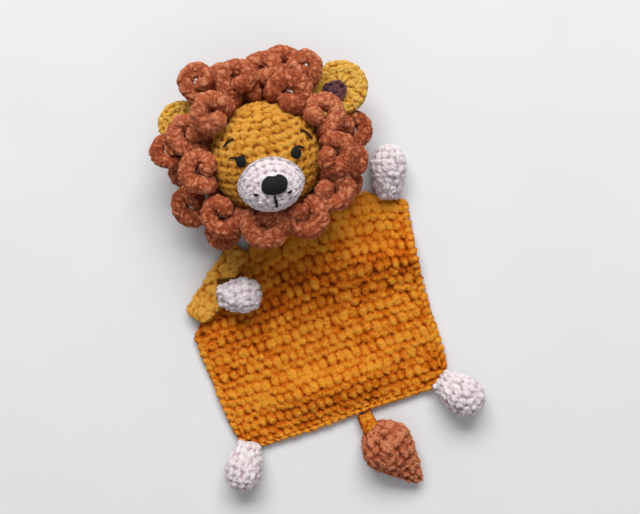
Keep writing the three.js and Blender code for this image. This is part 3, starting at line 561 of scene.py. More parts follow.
CREASE = unit(CREASE_TO - CREASE_FROM)
INWARD = np.array([CREASE[1], -CREASE[0]])
TUCK = 6.5 * INWARD  # the cloth ends this far inside the crease, where the folded arm's roll takes over
fold_middle = (CREASE_FROM + CREASE_TO) / 2 + TUCK
seam_at = {name: paw[0] - 0.6 * heading(paw[1]) for name, paw in CORNER_PAWS.items()}
LEFT_LINE = border(LEFT, [seam_at["bottom_left"], [-106.5, -77.2]],
                   [[-114.5, 33.5], CREASE_FROM + TUCK, fold_middle], 1, -74, 30)
TOP_LINE = border(TOP, [fold_middle, CREASE_TO + TUCK, CREASE_TO + TUCK + 8 * CREASE],
                  [[80.5, 105.5], [82, 100.2], seam_at["top_right"]], 0, -40, 79)
RIGHT_LINE = border(RIGHT, [seam_at["bottom_right"], [99.6, -71.8]], [[112.6, 90.2], seam_at["top_right"]],
                    1, -68, 86)
BOTTOM_LINE = border(BOTTOM, [seam_at["bottom_left"], [-86.5, -88.2]],
                     [[78.2, -87.8], seam_at["bottom_right"]], 0, -83, 75)
CUT = (BOTTOM_LINE, TOP_LINE, LEFT_LINE, RIGHT_LINE)
WHOLE = tuple(border(points) for points in (BOTTOM, TOP, LEFT, RIGHT))


def between(lines, u, v):
    """The place at shares u across and v up between four border lines."""
    low, high = lines[:2]
    b, t, l, r = (along_line(line, share) for line, share in zip(lines, (u, u, v, v)))
    u, v = u[:, None], v[:, None]
    return (b * (1 - v) + t * v + l * (1 - u) + r * u - low[0] * (1 - u) * (1 - v) - low[-1] * u * (1 - v)
            - high[0] * (1 - u) * v - high[-1] * u * v)


# %% Keeping the cloth clear of the nodding head
HEAD_R, HEAD_H, HEAD_TURN = 51.0, 48.5, -7.0
HEAD_SIZES = np.array([HEAD_R, HEAD_R, HEAD_H])
HEAD_Z = HEAD_H - 0.5
HEAD_AT = np.array([0, NECK_Y + HEAD_R * math.sqrt(1 - ((HEAD_Z - NECK_TOP) / HEAD_H) ** 2), HEAD_Z])
NODS = (-30, -22, -15, -8, 0, 4)
HEAD_ROOM = 2.8


def inside_head(spots):
    """Whether a place lies in the space that the head takes on its way from one limit to the other."""
    hit = np.zeros(len(spots), dtype=bool)
    for angle in np.radians(NODS):
        y, z = turned(HEAD_AT[1] - NECK_Y, HEAD_AT[2] - NECK_TOP, angle)
        away = spots - [0, NECK_Y + y, NECK_TOP + z]
        away = np.stack([away[:, 0], *turned(away[:, 1], away[:, 2], -angle)], axis=1)
        hit |= ((away / (HEAD_SIZES + HEAD_ROOM)) ** 2).sum(axis=1) < 1
    return hit


def clear_of_head(spots):
    """Moves places towards the blanket's foot until none is in the head's space."""
    spots = spots.copy()
    for _ in range(40):
        hit = inside_head(spots)
        if not hit.any():
            break
        spots[hit, 1] -= 0.5
    return spots


# %% Blanket
COLUMNS, ROWS = 225, 205
STITCH, ROW, CLOTH_ROWS = 8.3, 8.65, 22
EDGE_ROUND, PROUD = 3.4, 2.6
RIM_WIDE, RIM_STITCH, RIM_HIGH = 7.0, 7.6, 7.4
CHAIN = [(0.0, 0.0, 0.56, 0.72, 0.75, 0.95)]
CLOTH_DRIFT, CLOTH_DRIFT_OVER = 1.3, 24
# The first lifts the border chain's tone, painted light; the second lowers the whole cloth's tone, painted
# shade.
RIM_PAINTED_LIGHT, CLOTH_PAINTED_SHADE = 0.8, 0.2
PAINTED_SLOPE_SHADE = 1.5  # painted shade on slopes that turn from the window, painted light on those that face it


def stitch_place(spots):
    """Where a place lies in the crochet: mm along the row, and mm across the rows, counted from the bottom.
    The rows are even low down, and spread or close up towards the top edge, which the neck pulls out."""
    u, v = spots[:, 0] / WIDE + 0.5, spots[:, 1] / LONG + 0.5
    for _ in range(8):
        wrong = spots - between(WHOLE, np.clip(u, 0, 1), np.clip(v, 0, 1))
        u, v = u + wrong[:, 0] / WIDE, v + wrong[:, 1] / LONG
    tall = np.linalg.norm(along_line(WHOLE[1], u) - along_line(WHOLE[0], u), axis=1)
    rows = v * tall / ROW + (CLOTH_ROWS - tall / ROW) * np.clip(v, 0, 1) ** 3
    return u * WIDE, rows * ROW


def edge_gaps(u, v):
    """Distances in mm to the left, right, bottom and top borders."""
    return u * WIDE, (1 - u) * WIDE, v * LONG * 1.05, (1 - v) * LONG * 1.05


def cloth_face(sign):
    def place(u, v):
        u, v = (t - 0.012 * np.sin(2 * np.pi * t) for t in (u, v))
        spots = between(CUT, u, v)
        left, right, low, top = edge_gaps(u, v)
        loops_v = np.abs(np.sin(np.pi * v * CLOTH_ROWS))
        loops_u = np.abs(np.sin(np.pi * u * WIDE / RIM_STITCH))
        spots[:, 0] += 1.3 * loops_v * (smooth(1 - right / RIM_WIDE) - smooth(1 - left / RIM_WIDE))
        spots[:, 1] += 1.1 * loops_u * (smooth(1 - top / RIM_WIDE) - smooth(1 - low / RIM_WIDE))
        edge = np.minimum(np.minimum(left, right), np.minimum(low, top))
        thick = ((CLOTH - PROUD) / 2 + 0.2) * quarter_round(edge / EDGE_ROUND)
        return clear_of_head(np.column_stack([spots, wave(spots) + CLOTH / 2 + sign * thick]))
    return place


def cloth_relief(mesh):
    spots, _ = corners_and_normals(mesh)
    u, v, side = grid_shares(mesh)
    across, up = stitch_place(spots[:, :2])
    across = across + CLOTH_DRIFT * rough(spots, CLOTH_DRIFT_OVER, 1)
    up = up + CLOTH_DRIFT * rough(spots, CLOTH_DRIFT_OVER, 2)
    height, tone = np.zeros(len(u)), np.zeros(len(u))
    for face, kinds in enumerate(((PLUMP, SHELF), (SHELF, PLUMP))):
        here = side == face
        height[here], tone[here] = yarn_height(across[here], up[here], STITCH, ROW, kinds, 3 + 40 * face,
                                               jitter=1.4, domed=0.62, overlap=0.32)
    left, right, low, top = edge_gaps(u, v)
    for gap, along, seed in ((left, up, 11), (right, up, 12), (low, across, 13), (top, across, 14)):
        near = gap < RIM_WIDE
        rim, rim_tone = yarn_height(along[near], gap[near] + 0.4, RIM_STITCH, RIM_HIGH, (CHAIN,), seed)
        # The border chain is painted paler: painted light where the rounded edge tilts towards the window.
        height[near], tone[near] = np.maximum(rim, 0.25), rim_tone + RIM_PAINTED_LIGHT
    # Painted shade and light: the tone falls on slopes that turn from the window and rises on those that face
    # it.
    share, step = spots[:, 1] / LONG, 0.02
    turned_from_window = (ridges(share + step) - ridges(share - step)) / (2 * step * LONG)
    return height, tone - CLOTH_PAINTED_SHADE - PAINTED_SLOPE_SHADE * turned_from_window


def cloth():
    mesh = bent_grids("blanket_cloth", (cloth_face(1), cloth_face(-1)), COLUMNS, ROWS)
    made = dressed(mesh, SHADED_CLOTH_MUSTARD, "blanket", "blanket", *cloth_relief(mesh), PROUD, ripple=0.9)


cloth()

# %% [markdown]
# ## Pieces worked in rounds
# The head, muzzle, paws, tuft and tail start with a few stitches in a ring and grow round by round. Such a
# piece is a profile, its radius against its length, that is turned about an axis. Rows are counted along
# the profile, and each round has as many stitches as fit its girth, so stitches stay the same size while
# rounds grow and shrink. All lie a little inside their solids, to leave room for the yarn's height.


# %% Bodies in rounds
PLAIN_IN = 0.9


class Rounds:
    """A profile of (length, radius) in mm with its arc length, and the stitches of each round."""

    def __init__(self, profile, stitch, row, soften=False):
        self.points = np.array(profile, dtype=float)
        if soften:
            self.points = through(self.points, np.linspace(0, 1, 12 * len(profile)))
            self.points[:, 1] = np.maximum(self.points[:, 1], 0)
        self.arc = arc_length(self.points)
        self.stitch, self.row = stitch, row

    def at(self, v):
        return read_off(v * self.arc[-1], self.arc, self.points).T

    def count_of(self, row):
        radius = np.maximum(np.interp((row + 0.5) * self.row, self.arc, self.points[:, 1]), 1.2)
        return np.maximum(np.round(2 * np.pi * radius / self.stitch), 5)

    def relief(self, mesh, kinds, seed, jitter=1.0):
        u, v, _ = grid_shares(mesh)
        spots, _ = corners_and_normals(mesh)
        angle = 2 * np.pi * u + 0.06 * rough(spots, DRIFT_OVER, seed)
        up = v * self.arc[-1] + 0.8 * rough(spots, DRIFT_OVER, seed + 1)
        return yarn_height(angle, up, self.stitch, self.row, kinds, seed, self.count_of, jitter)


def ball_profile(radius):
    """Half a circle from one pole to the other."""
    angles = np.radians(np.linspace(0, 180, 60))
    return np.stack([-radius * np.cos(angles), radius * np.sin(angles)], axis=1)


UNIT_BALL = Rounds(ball_profile(1.0), 1, 1)


def on_ball(u, v):
    """The length along a unit ball's axis, from -1 to 1, its radius there, and the cosine and sine of u."""
    length, radius = UNIT_BALL.at(v)
    return length, radius, np.cos(2 * np.pi * u), np.sin(2 * np.pi * u)


def turned_z(spots, angle):
    return np.column_stack([*turned(spots[:, 0], spots[:, 1], angle), spots[:, 2]])


def on_head(spots):
    """From the head's own frame to the blanket's."""
    return turned_z(spots, math.radians(HEAD_TURN)) + HEAD_AT


# %% [markdown]
# ## Head
# A ball of mustard chenille, worked from the crown to the neck. From the front each single crochet shows as
# a small heart with two raised lobes, about 9.4 mm wide and 7.9 mm high, and a dark pinhole where four
# stitches meet. The axis of the rounds leans back a little, as the neck does.

# %% Head
NECK_TILT = math.radians(20.0)
HEAD_STITCH, HEAD_ROW = 9.4, 7.9


def head():
    rounds = Rounds(ball_profile(HEAD_R - PLAIN_IN), HEAD_STITCH, HEAD_ROW)

    def place(u, v):
        length, radius = rounds.at(v)
        angle = 2 * np.pi * u
        y, z = turned(length, radius * np.sin(angle), NECK_TILT)
        z = np.maximum(z * HEAD_H / HEAD_R, PLAIN_IN - HEAD_Z)
        return on_head(np.column_stack([radius * np.cos(angle), y, z]))

    mesh = bent_grids("head_ball", (place,), 240, 130)
    dressed(mesh, MUSTARD, "head", "head_shell", *rounds.relief(mesh, (HEART,), 21), 2.6, fill=0.9)


head()

# %% [markdown]
# ## Muzzle
# An oval cup of lilac-white yarn, sewn to the face over its own filling. Its stitches are smaller and lie
# flatter, so only soft grey creases show. Behind its rim the cup follows the head's skin.

# %% Muzzle
MUZZLE_SIZES = np.array([29.5, 22.0, 27.0])
MUZZLE_SINK, MUZZLE_CROWN = 6.0, 0.2
MUZZLE_AIM = np.array([0.8, -31.0])


def skin(sizes, x, y, off=0.0):
    """A place over the front of an egg with these half sizes, stood off along its normal."""
    z = sizes[2] * np.sqrt(np.clip(1 - (x / sizes[0]) ** 2 - (y / sizes[1]) ** 2, 0.01, 1))
    spots = np.stack([x, y, z], axis=-1)
    normals = spots / sizes ** 2
    return spots + off * normals / np.linalg.norm(normals, axis=-1, keepdims=True)


muzzle_out = skin(HEAD_SIZES, *MUZZLE_AIM)
muzzle_at = muzzle_out - MUZZLE_SINK * unit(muzzle_out)
muzzle_tip = math.atan2(-MUZZLE_AIM[1], muzzle_out[2])


def muzzle_to_head(spots):
    return np.column_stack([spots[:, 0], *turned(spots[:, 1], spots[:, 2], muzzle_tip)]) + muzzle_at


def out_of_head(spots, room):
    """Moves places that are inside the head out to its skin, in the head's frame."""
    reach = np.linalg.norm(spots / (HEAD_SIZES + room), axis=1)[:, None]
    return np.where(reach < 1, spots / np.maximum(reach, 0.01), spots)


def muzzle():
    def place(u, v):
        length, radius, c, s = on_ball(u, v)
        crown = smooth(s)
        shares = np.column_stack([radius * c * (0.97 - 0.07 * crown), radius * s * (1 + MUZZLE_CROWN * crown),
                                  np.maximum(-length, -0.25)])
        return on_head(out_of_head(muzzle_to_head(shares * (MUZZLE_SIZES - 0.6)), 0.8))

    mesh = bent_grids("muzzle_cup", (place,), 160, 110)
    worked = Rounds(ball_profile(25.0), 7.6, 6.6)
    dressed(mesh, LILAC, "head", "muzzle_shell", *worked.relief(mesh, (HEART,), 31), 1.5, fill=0.8)


muzzle()

# %% [markdown]
# ## Paws, tuft and tail root
# Egg-shaped cups lie with their mouths at the cloth. Each is a profile whose height and width differ, whose
# middle sinks towards the tip, and which is flat where it rests on the table. A profile's shares of the
# length and the half width run from the mouth, which is tucked in, to the tip.

# %% Egg cups
PAW_SHARES = [(0, 0.56), (0.18, 0.74), (0.42, 0.95), (0.64, 1), (0.82, 0.86), (0.94, 0.55)]
PAW_MOUTH = [(0.008, 0), (0.008, 0.3), (0.012, 0.5), (0.05, 0.62)]
PAW_DROOP, PAW_PROUD, PAW_STITCH, PAW_ROW = 0.15, 2.0, 7.8, 6.8
ARM_LIFT = CLOTH + 0.35


def egg(name, shares, mouth, size, droop, stand, yarn, body, replaced, seed, proud, stitch, row):
    """An egg cup that lies along its heading. size is length, half width and half height; stand is its
    seam's place, heading and height."""
    long, half, high = size
    belly_at = next(t for t, w in shares if w == 1) * long
    rounds = Rounds([*np.array(mouth + shares[1:]) * [long, half], (long, 0)], stitch, row, soften=True)
    seam, turn, lift = stand

    def place(u, v):
        along, radius = rounds.at(v)
        angle = 2 * np.pi * u
        share = radius / half
        resting = share * high
        inset = PLAIN_IN * np.minimum(share * 4, 1)
        sag = np.where(along < belly_at, resting, high + (resting - high) * droop)
        y = np.maximum(radius - inset, 0) * np.cos(angle)
        z = sag - 0.5 + np.maximum(resting - inset, 0) * np.sin(angle)
        spots = turned_z(np.column_stack([along, y, np.maximum(z, PLAIN_IN)]), math.radians(turn))
        return spots + [*seam, lift]

    mesh = bent_grids(name, (place,), int(2 * math.pi * half / 1.15), int(rounds.arc[-1] / 1.1))
    relief = rounds.relief(mesh, (HEART, PLUMP), seed, jitter=1.7)
    dressed(mesh, yarn, body, replaced, *relief, proud, ripple=1.2, fill=0.7)


for count, (name, (seam, turn, *size)) in enumerate({**CORNER_PAWS, "left_arm": ARM_PAW}.items()):
    stand = (seam, turn, ARM_LIFT if name == "left_arm" else 0.0)
    egg(f"paw_{name}", PAW_SHARES, PAW_MOUTH, size, PAW_DROOP, stand, LILAC, f"{name}_paw",
        f"paw_{name}_shell", 41 + count, PAW_PROUD, PAW_STITCH, PAW_ROW)

# %% Tail
TAIL_AT, TAIL_TURN, TUFT_TURN = np.array([0.048 * WIDE, -LONG / 2 - 0.35]), -78.0, -65.0
ROOT_LONG, ROOT_IN_TUFT = 15.0, 9.3
ROOT_SHARES = [(0, 0.84), (0.3, 0.88), (0.6, 1), (0.78, 0.92), (0.92, 0.6)]
ROOT_MOUTH = [(0.02, 0), (0.02, 0.5), (0.04, 0.8)]
TUFT_SHARES = [(0, 0.4), (0.12, 0.78), (0.28, 1), (0.48, 0.88), (0.7, 0.6), (0.88, 0.34), (0.97, 0.19)]
TUFT_MOUTH = [(0.16, 0), (0.14, 0.2), (0.09, 0.33), (0.03, 0.42), (0.005, 0.45), (0.03, 0.54)]
tuft_at = TAIL_AT + ROOT_LONG * heading(TAIL_TURN)
# The root uses the cloth's deeper copy of the mustard, painted shade.
egg("tail_root_tube", ROOT_SHARES, ROOT_MOUTH, (ROOT_LONG + ROOT_IN_TUFT, 9.5, 7.0), 1.0,
    (TAIL_AT, TAIL_TURN, 0.0), SHADED_CLOTH_MUSTARD, "tail", "tail_root", 51, 1.6, 7.6, 7.4)
egg("tail_tuft_cup", TUFT_SHARES, TUFT_MOUTH, (68.0, 25.0, 18.0), 0.6,
    (tuft_at, TUFT_TURN, 0.0), RUST, "tuft", "tail_tuft", 52, 2.4, 9.0, 8.0)

# %% [markdown]
# ## Folded arm
# The blanket's top left corner is turned over to the front, and its paw lies on the cloth. The fold is a
# plump roll along the crease with a flap on its inner side, so its section is like a comma. It is one
# closed skin, swept along the crease, and it turns about the roll's own middle when the arm opens.

# %% Folded arm
# The flap's reach from the crease in mm, by shares of the crease's length
ARM_REACH = [(0, 9.2), (0.03, 9.5), (0.2, 15), (0.42, 15), (0.7, 11.5), (0.95, 9.3), (1, 9.2)]
ARM_ROLL, ARM_PUFF, FLAP_LOW, FLAP_TIP = 6.2, 2.0, 1.0, 3.25
# The last number lifts the arm's tone: painted light where the fold faces the window.
ARM_END, ARM_GIRTH, ARM_PAINTED_LIGHT = 4.5, 58, 0.7
ARM_STITCH_TURN = math.radians(-50)
CREASE_LONG = float(np.linalg.norm(CREASE_TO - CREASE_FROM))


def comma(reach):
    """The arm's section as (inwards, up) from the crease, in mm, for one reach of the flap. The roll puffs
    out on its outer side."""
    back = [(ARM_ROLL * math.cos(a) * (ARM_PUFF if math.cos(a) < 0 else 1), ARM_ROLL * math.sin(a))
            for a in np.radians(np.linspace(95, 352, 40))]
    flap = [(reach - 0.6 + FLAP_TIP * (math.cos(a) - 1), FLAP_LOW + FLAP_TIP * (math.sin(a) + 1))
            for a in np.radians(np.linspace(-90, 90, 9))]
    return np.array(back + flap + [back[0]])


def arm_place(u, v):
    along = u * CREASE_LONG
    close = quarter_round(np.minimum(along, CREASE_LONG - along) / ARM_END)
    reaches = np.interp(u, *np.transpose(ARM_REACH)).round(4)
    section = np.zeros((len(u), 2))
    for reach in np.unique(reaches):
        here = reaches == reach
        outline = comma(reach)
        steps = arc_length(outline)
        section[here] = read_off(v[here] * steps[-1], steps, outline)
    inwards, up = 3 + (section[:, 0] - 3) * close, section[:, 1] * close
    flat = CREASE_FROM + np.outer(along, CREASE) + np.outer(inwards, INWARD)
    ahead, beside = ((flat - ARM_PAW_AT) @ heading(ARM_PAW_TURN + more) for more in (0, 90))
    back = np.clip(ahead + 1.0, 0, None) * (np.abs(beside) < ARM_PAW[3] + 0.1) * smooth((up + 1.5) / 2)
    return np.column_stack([flat - np.outer(back, heading(ARM_PAW_TURN)), up + CLOTH])


def folded_arm():
    mesh = bent_grids("folded_arm", (arm_place,), 72, 52)
    u, v, _ = grid_shares(mesh)
    spots, _ = corners_and_normals(mesh)
    stray = 1.2 * rough(spots, 20, 5)
    along, up = turned(u * CREASE_LONG + stray, v * ARM_GIRTH + stray, ARM_STITCH_TURN)
    height, tone = yarn_height(along, up + 200, STITCH * 1.05, ROW, (PLUMP, HEART), 61, jitter=1.6)
    # The lifted tone is painted light on the folded arm.
    dressed(mesh, MUSTARD, "left_arm", "blanket_left_arm", height, tone + ARM_PAINTED_LIGHT, 2.6, fill=0.3)


folded_arm()

# %% [markdown]
# ## Ears
# Each ear is a round cup pressed flat, with a rolled rim and a dished front. It runs in to the mane's band.
# Its pile is painted a little paler than the head's, as painted light where the ears face the window. The
# dark inner patch is a small disc of its own.

# %% Ears
EAR_AT = {"left": (-70.5, 46.0), "right": (79.0, 51.0)}
EAR_R, EAR_DROP, EAR_HALF = {"left": 21.5, "right": 25.0}, 9.0, 6.5
EAR_PROFILE = [(0, 0), (0, 8), (0, 16), (0.5, 22), (6, 25), (11.5, 22), (12, 16), (12, 8), (12, 0)]
PATCH_PROFILE, PATCH_R = [(0, 0), (0, 5), (0, 10), (2, 11.5), (3, 5), (3, 0)], 10.6
# The last number lifts the ears' tone: painted light where they face the window.
EAR_STEM, EAR_DISH, EAR_PAINTED_LIGHT = 11, 2.2, 0.5
BAND_TOP, BAND_LOW, BAND_THICK = 2.0, -15.0, 13.0
BAND_OUT, BAND_HIGH = HEAD_R + 0.35 + BAND_THICK, HEAD_H + 0.35 + BAND_THICK


def rounder(x, power):
    """x from -1 to 1 with its sign kept and its size raised to a power."""
    return np.sign(x) * np.abs(x) ** power


def ear_to_blanket(spots, side):
    """From the ear's own frame, its middle at the zero point and x away from the head, to the blanket's."""
    x, y = EAR_AT[side]
    return on_head(turned_z(spots + [math.hypot(x, y), 0, 0], math.atan2(y, x)) - [0, 0, EAR_DROP])


def ear(side, seed):
    middle, band = math.hypot(*EAR_AT[side]), BAND_OUT + 1.2

    def place(u, v):
        length, ring, c, s = on_ball(u, v)
        reach = EAR_R[side] - 0.7 + EAR_STEM * np.clip(-c, 0, 1) ** 6
        share = np.clip(ring, 0, 1) ** 1.5
        dish = EAR_DISH * smooth((0.8 - share) / 0.5) * (length < 0)
        x, y = share * reach * c, share * reach * s
        inner = np.hypot(x + middle, y)
        x = np.where(inner < band, (x + middle) * band / np.maximum(inner, 1) - middle, x)
        return ear_to_blanket(np.column_stack([x, y, rounder(-length, 0.55) * (EAR_HALF - 0.6) - dish]), side)

    mesh = bent_grids(f"ear_{side}_cup", (place,), 130, 84)
    height, tone = Rounds(EAR_PROFILE, 7.2, 6.6, soften=True).relief(mesh, (HEART, PLUMP), seed, jitter=1.5)
    # The paler yarn and the lifted tone are painted light on the ears.
    dressed(mesh, PAINTED_LIGHT_MUSTARD, "head", f"ear_{side}", height, tone + EAR_PAINTED_LIGHT, 2.4, fill=0.4)


def ear_inner(side, seed):
    def place(u, v):
        length, ring, c, s = on_ball(u, v)
        reach = ring * PATCH_R * (1 + 0.07 * np.cos(6 * np.pi * u))
        z = EAR_HALF + 0.3 + np.where(length < 0, -length, -length * 0.6) * 1.9
        return ear_to_blanket(np.column_stack([-0.3 * EAR_R[side] + reach * c, reach * s, z]), side)

    mesh = bent_grids(f"ear_{side}_patch", (place,), 60, 36)
    relief = Rounds(PATCH_PROFILE, 6.4, 5.4, soften=True).relief(mesh, (HEART,), seed, jitter=1.5)
    dressed(mesh, PLUM, "head", f"ear_inner_{side}", *relief, 1.5)


for side, seed in (("left", 70), ("right", 72)):
    ear(side, seed)
    ear_inner(side, seed + 10)

# %% [markdown]
# ## Mane
# The mane is a crocheted band round the head with curls on its front edge and its outer side. A curl is a
# chain that was worked back along itself, so it twists up: a round tongue in the middle, a fat arc round
# it, and a stem to the band. Each is a tube along a smooth line. The pile is deep, so there are no single
# stitches to see, only a crinkled skin. With their pile the tubes are 8 mm in radius times the curl's size,
# so neighbours press into each other, and the back row stands a little nearer to the head than its solids.

# %% Band
BAND_WORKED_R, BAND_GIRTH, BAND_START = 55, 47.4, 79


def mane_band():
    def place(u, v):
        around, angle = 2 * np.pi * u, 2 * np.pi * v
        z = (BAND_TOP + BAND_LOW) / 2 + rounder(np.sin(angle), 0.6) * ((BAND_TOP - BAND_LOW) / 2 - 0.7)
        inner = HEAD_R * np.sqrt(1 - (z / HEAD_H) ** 2) + 1.0
        outer = BAND_OUT * np.sqrt(1 - (z / BAND_HIGH) ** 2) - 0.7
        radius = (inner + outer) / 2 + rounder(np.cos(angle), 0.6) * (outer - inner) / 2
        return on_head(np.column_stack([radius * np.cos(around), radius * np.sin(around), z]))

    mesh = bent_grids("mane_strip", (place,), 260, 34)
    u, v, _ = grid_shares(mesh)
    along, up = 2 * np.pi * u * BAND_WORKED_R, v * BAND_GIRTH + BAND_START
    height, tone = yarn_height(along, up, 8.6, 7.9, (PLUMP, HEART), 91, jitter=1.5)
    dressed(mesh, RUST, "head", "mane_band", height * 0.8, tone, 2.2)


mane_band()

# %% The line of a curl
# Each curl: its middle x, y, z in head radii, its size, and its hand
FRONT_CURLS = [
    (-0.254, 1.48, 0.346, 0.92, 1), (-0.767, 0.897, 0.704, 0.97, -1), (-1.327, 0.657, 0.265, 0.95, 1),
    (-1.2, -0.06, 0.42, 1, 1), (-0.963, -0.918, 0.3, 1, 1), (-0.238, -1.218, 0.422, 1.12, -1),
    (0.513, -1.231, 0.403, 1, 1), (1.093, -0.837, 0.309, 0.98, 1), (1.248, -0.218, 0.472, 1, 1),
    (1.173, 0.52, 0.414, 1, -1), (0.634, 1.013, 0.42, 1.06, 1), (0.252, 1.56, 0.113, 0.95, 1),
]
BACK_CURLS = [
    (-1.031, 1.687, 0.148, 0.87, 1), (-0.57, 1.72, -0.24, 0.78, -1), (0.654, 1.716, -0.179, 1, 1),
    (1.082, 1.559, 0.163, 0.78, -1), (1.789, 0.242, -0.332, 0.9, -1), (1.617, -0.348, -0.149, 0.82, -1),
    (1.45, -0.76, -0.45, 0.78, -1), (-1.863, 0.493, 0.075, 0.78, 1), (-1.64, 0.08, -0.3, 0.78, 1),
    (-1.62, -0.62, -0.25, 1, 1), (-1.16, -1.26, -0.42, 0.82, 1),
]
FRONT_PULL, BACK_PULL, FRONT_LEAN, BACK_LEAN = 0.96, 0.91, math.radians(-20), math.radians(-6)
CURL_TUBE, CURL_RING, CURL_LIFT, CURL_FAT = 5.5, 12.4, 6.0, 8.0
UP = np.array([0.0, 0.0, 1.0])


def curl_line(share, on_top):
    """The middle line of a curl in the head's frame, the tongue first, which is lifted off the arc."""
    xs, ys, zs, size, hand = share
    pull, more = (FRONT_PULL, FRONT_LEAN) if on_top else (BACK_PULL, BACK_LEAN)
    middle = np.array([xs * pull, ys * pull, zs]) * HEAD_R
    outwards = unit(middle * [1, 1, 0])
    sideways = np.cross(UP, outwards) * hand
    lean = math.atan2(zs, math.hypot(xs, ys)) + more + math.pi / 2
    facing = outwards * math.cos(lean) + UP * math.sin(lean)
    across = unit(np.cross(sideways, facing) * hand)
    across = across * np.sign(across @ outwards)
    ring, lift = CURL_RING * size, CURL_LIFT * size
    line = [middle + ring / 2 * (sideways * (np.cos(a) - 1) - across * np.sin(a))
            + facing * lift * (1 - a / np.pi) ** 1.5 for a in np.linspace(0, np.pi, 5)]
    line += [middle + ring * (across * np.sin(a) - sideways * np.cos(a))
             for a in np.linspace(np.pi / 4, np.pi, 4)]
    end = line[-1]
    way = unit(end * [1, 1, 0])
    if on_top:
        seat = way * (HEAD_R + 0.35 + BAND_THICK / 2) + UP * (BAND_TOP + 0.35)
        way = UP
    else:
        z = np.clip(end[2], BAND_LOW + CURL_TUBE, BAND_TOP - CURL_TUBE)
        seat = way * (BAND_OUT * math.sqrt(1 - (z / BAND_HIGH) ** 2) + 0.35) + UP * z
    reach = np.linalg.norm(end - seat) / 3
    one, two = end - across * reach, seat + way * reach
    bend = (8 * end + 12 * one + 6 * two + seat) / 27  # a third of the way along the Bezier curve to the seat
    return np.array([*line, bend, seat + way * CURL_TUBE, seat])


# %% Tubes
def tube_grid(name, line, radius_at, columns, rows):
    """A closed tube along a line in the head's frame. radius_at gives the radius for distances from the
    start and the end."""
    fine = through(line, np.linspace(0, 1, 40 * len(line)))
    steps = arc_length(fine)
    fine = read_off(np.linspace(0, steps[-1], 400), steps, fine)
    tangents = np.gradient(fine, axis=0)
    tangents /= np.linalg.norm(tangents, axis=1, keepdims=True)
    across = np.zeros_like(fine)
    first = UP if abs(tangents[0][2]) < 0.9 else np.array([1.0, 0.0, 0.0])
    for i, tangent in enumerate(tangents):
        first = unit(first - tangent * (first @ tangent))
        across[i] = first

    def place(u, v):
        at, side, up = (along_line(values, u) for values in (fine, across, np.cross(tangents, across)))
        radius = radius_at(u * steps[-1], (1 - u) * steps[-1])[:, None]
        angle = (2 * np.pi * v)[:, None]
        return on_head(at + radius * (side * np.cos(angle) + up * np.sin(angle)))

    return bent_grids(name, (place,), columns, rows, weld=0.02)


def round_end(distance, radius, length):
    return radius * quarter_round(distance / length)


# %% Curls
def curl(name, share, on_top, seed):
    size = share[3]
    fat = CURL_FAT * size

    def radius_at(start, end):
        tongue = 1 + 0.22 * np.exp(-((start - 6) / 6) ** 2)
        slim = 1 - 0.1 * smooth((14 - end) / 14)
        return np.minimum(round_end(start, fat, fat), round_end(end, fat, 2)) * tongue * slim

    mesh = tube_grid(name, curl_line(share, on_top), radius_at, 130, 38)
    spots, normals = corners_and_normals(mesh)
    swell = rough(spots, 8.5, seed + 2)
    mesh.vertices.foreach_set("co", (spots + normals * swell[:, None] * 0.8).ravel())
    mesh.update()
    # The crinkle raises the skin and, through the colour ramp, darkens its valleys as painted shade.
    crinkle = 0.2 + 1.1 * np.abs(rough(spots, 4.8, seed)) + 0.65 * np.abs(rough(spots, 2.3, seed + 1))
    tone = float(chance(seed, 3, 7)) + 0.2 * swell
    dressed(mesh, RUST, "head", name.replace("chain", "curl"), np.clip(crinkle, 0, 1.15), tone, 2.0, ripple=0)


for row, curls, seed in (("front", FRONT_CURLS, 100), ("back", BACK_CURLS, 130)):
    for i, share in enumerate(curls):
        curl(f"mane_chain_{row}_{i + 1}", share, row == "front", seed + i)

# %% [markdown]
# ## Face
# The nose is a pad of black cotton yarn that hugs the muzzle, round above with a notch, and squarer below.
# The eyes are two small domes. The mouth, lashes and brows are single strands, and a strand that goes in
# and out of crochet shows a small knot at its end, so the tubes swell there.

# %% Nose and eyes
NOSE_PLACE, NOSE_HALF, NOSE_OUT, NOSE_LEAN = np.array([0.12, 0.62]), (12.2, 9.4), 4.4, 0.25
EYES, EYE_HALF, EYE_OUT = {"left": (-20.6, -3.5), "right": (26.9, -5.0)}, (4.4, 5.0), 2.6


def black_piece(mesh, replaced, ripple=0.1):
    plain = np.full(len(mesh.vertices), 0.5)
    dressed(mesh, BLACK, "head", replaced, plain, plain, 0.0, ripple=ripple)


def nose():
    middle = skin(MUZZLE_SIZES, *(NOSE_PLACE * MUZZLE_SIZES[:2]))
    out = unit(middle / MUZZLE_SIZES ** 2)
    right = unit(np.array([out[2], 0, -out[0]]))
    above = np.cross(out, right)

    def place(u, v):
        length, ring, c, s = on_ball(u, v)
        power = 0.98 - 0.24 * smooth(0.5 - 1.5 * s)
        x, y = rounder(c, power), rounder(s, power)
        y = y - 0.24 * np.exp(-((x / 0.15) ** 2)) * smooth(y)
        x, y = (x + NOSE_LEAN * y) * ring, (y - NOSE_LEAN * x) * ring
        groove = 0.9 * np.exp(-((x / 0.16) ** 2)) * smooth((y + 0.1) / 0.8)
        dome = np.where(length < 0, np.abs(length) ** 0.7 * NOSE_OUT - groove, -0.2)
        flat = middle + np.outer(x * NOSE_HALF[0], right) + np.outer(y * NOSE_HALF[1], above)
        hugging = flat / np.linalg.norm(flat / MUZZLE_SIZES, axis=1, keepdims=True)
        return on_head(muzzle_to_head(hugging + np.outer(0.9 + dome, out)))

    black_piece(bent_grids("nose_pad", (place,), 80, 44), "nose", ripple=0.12)


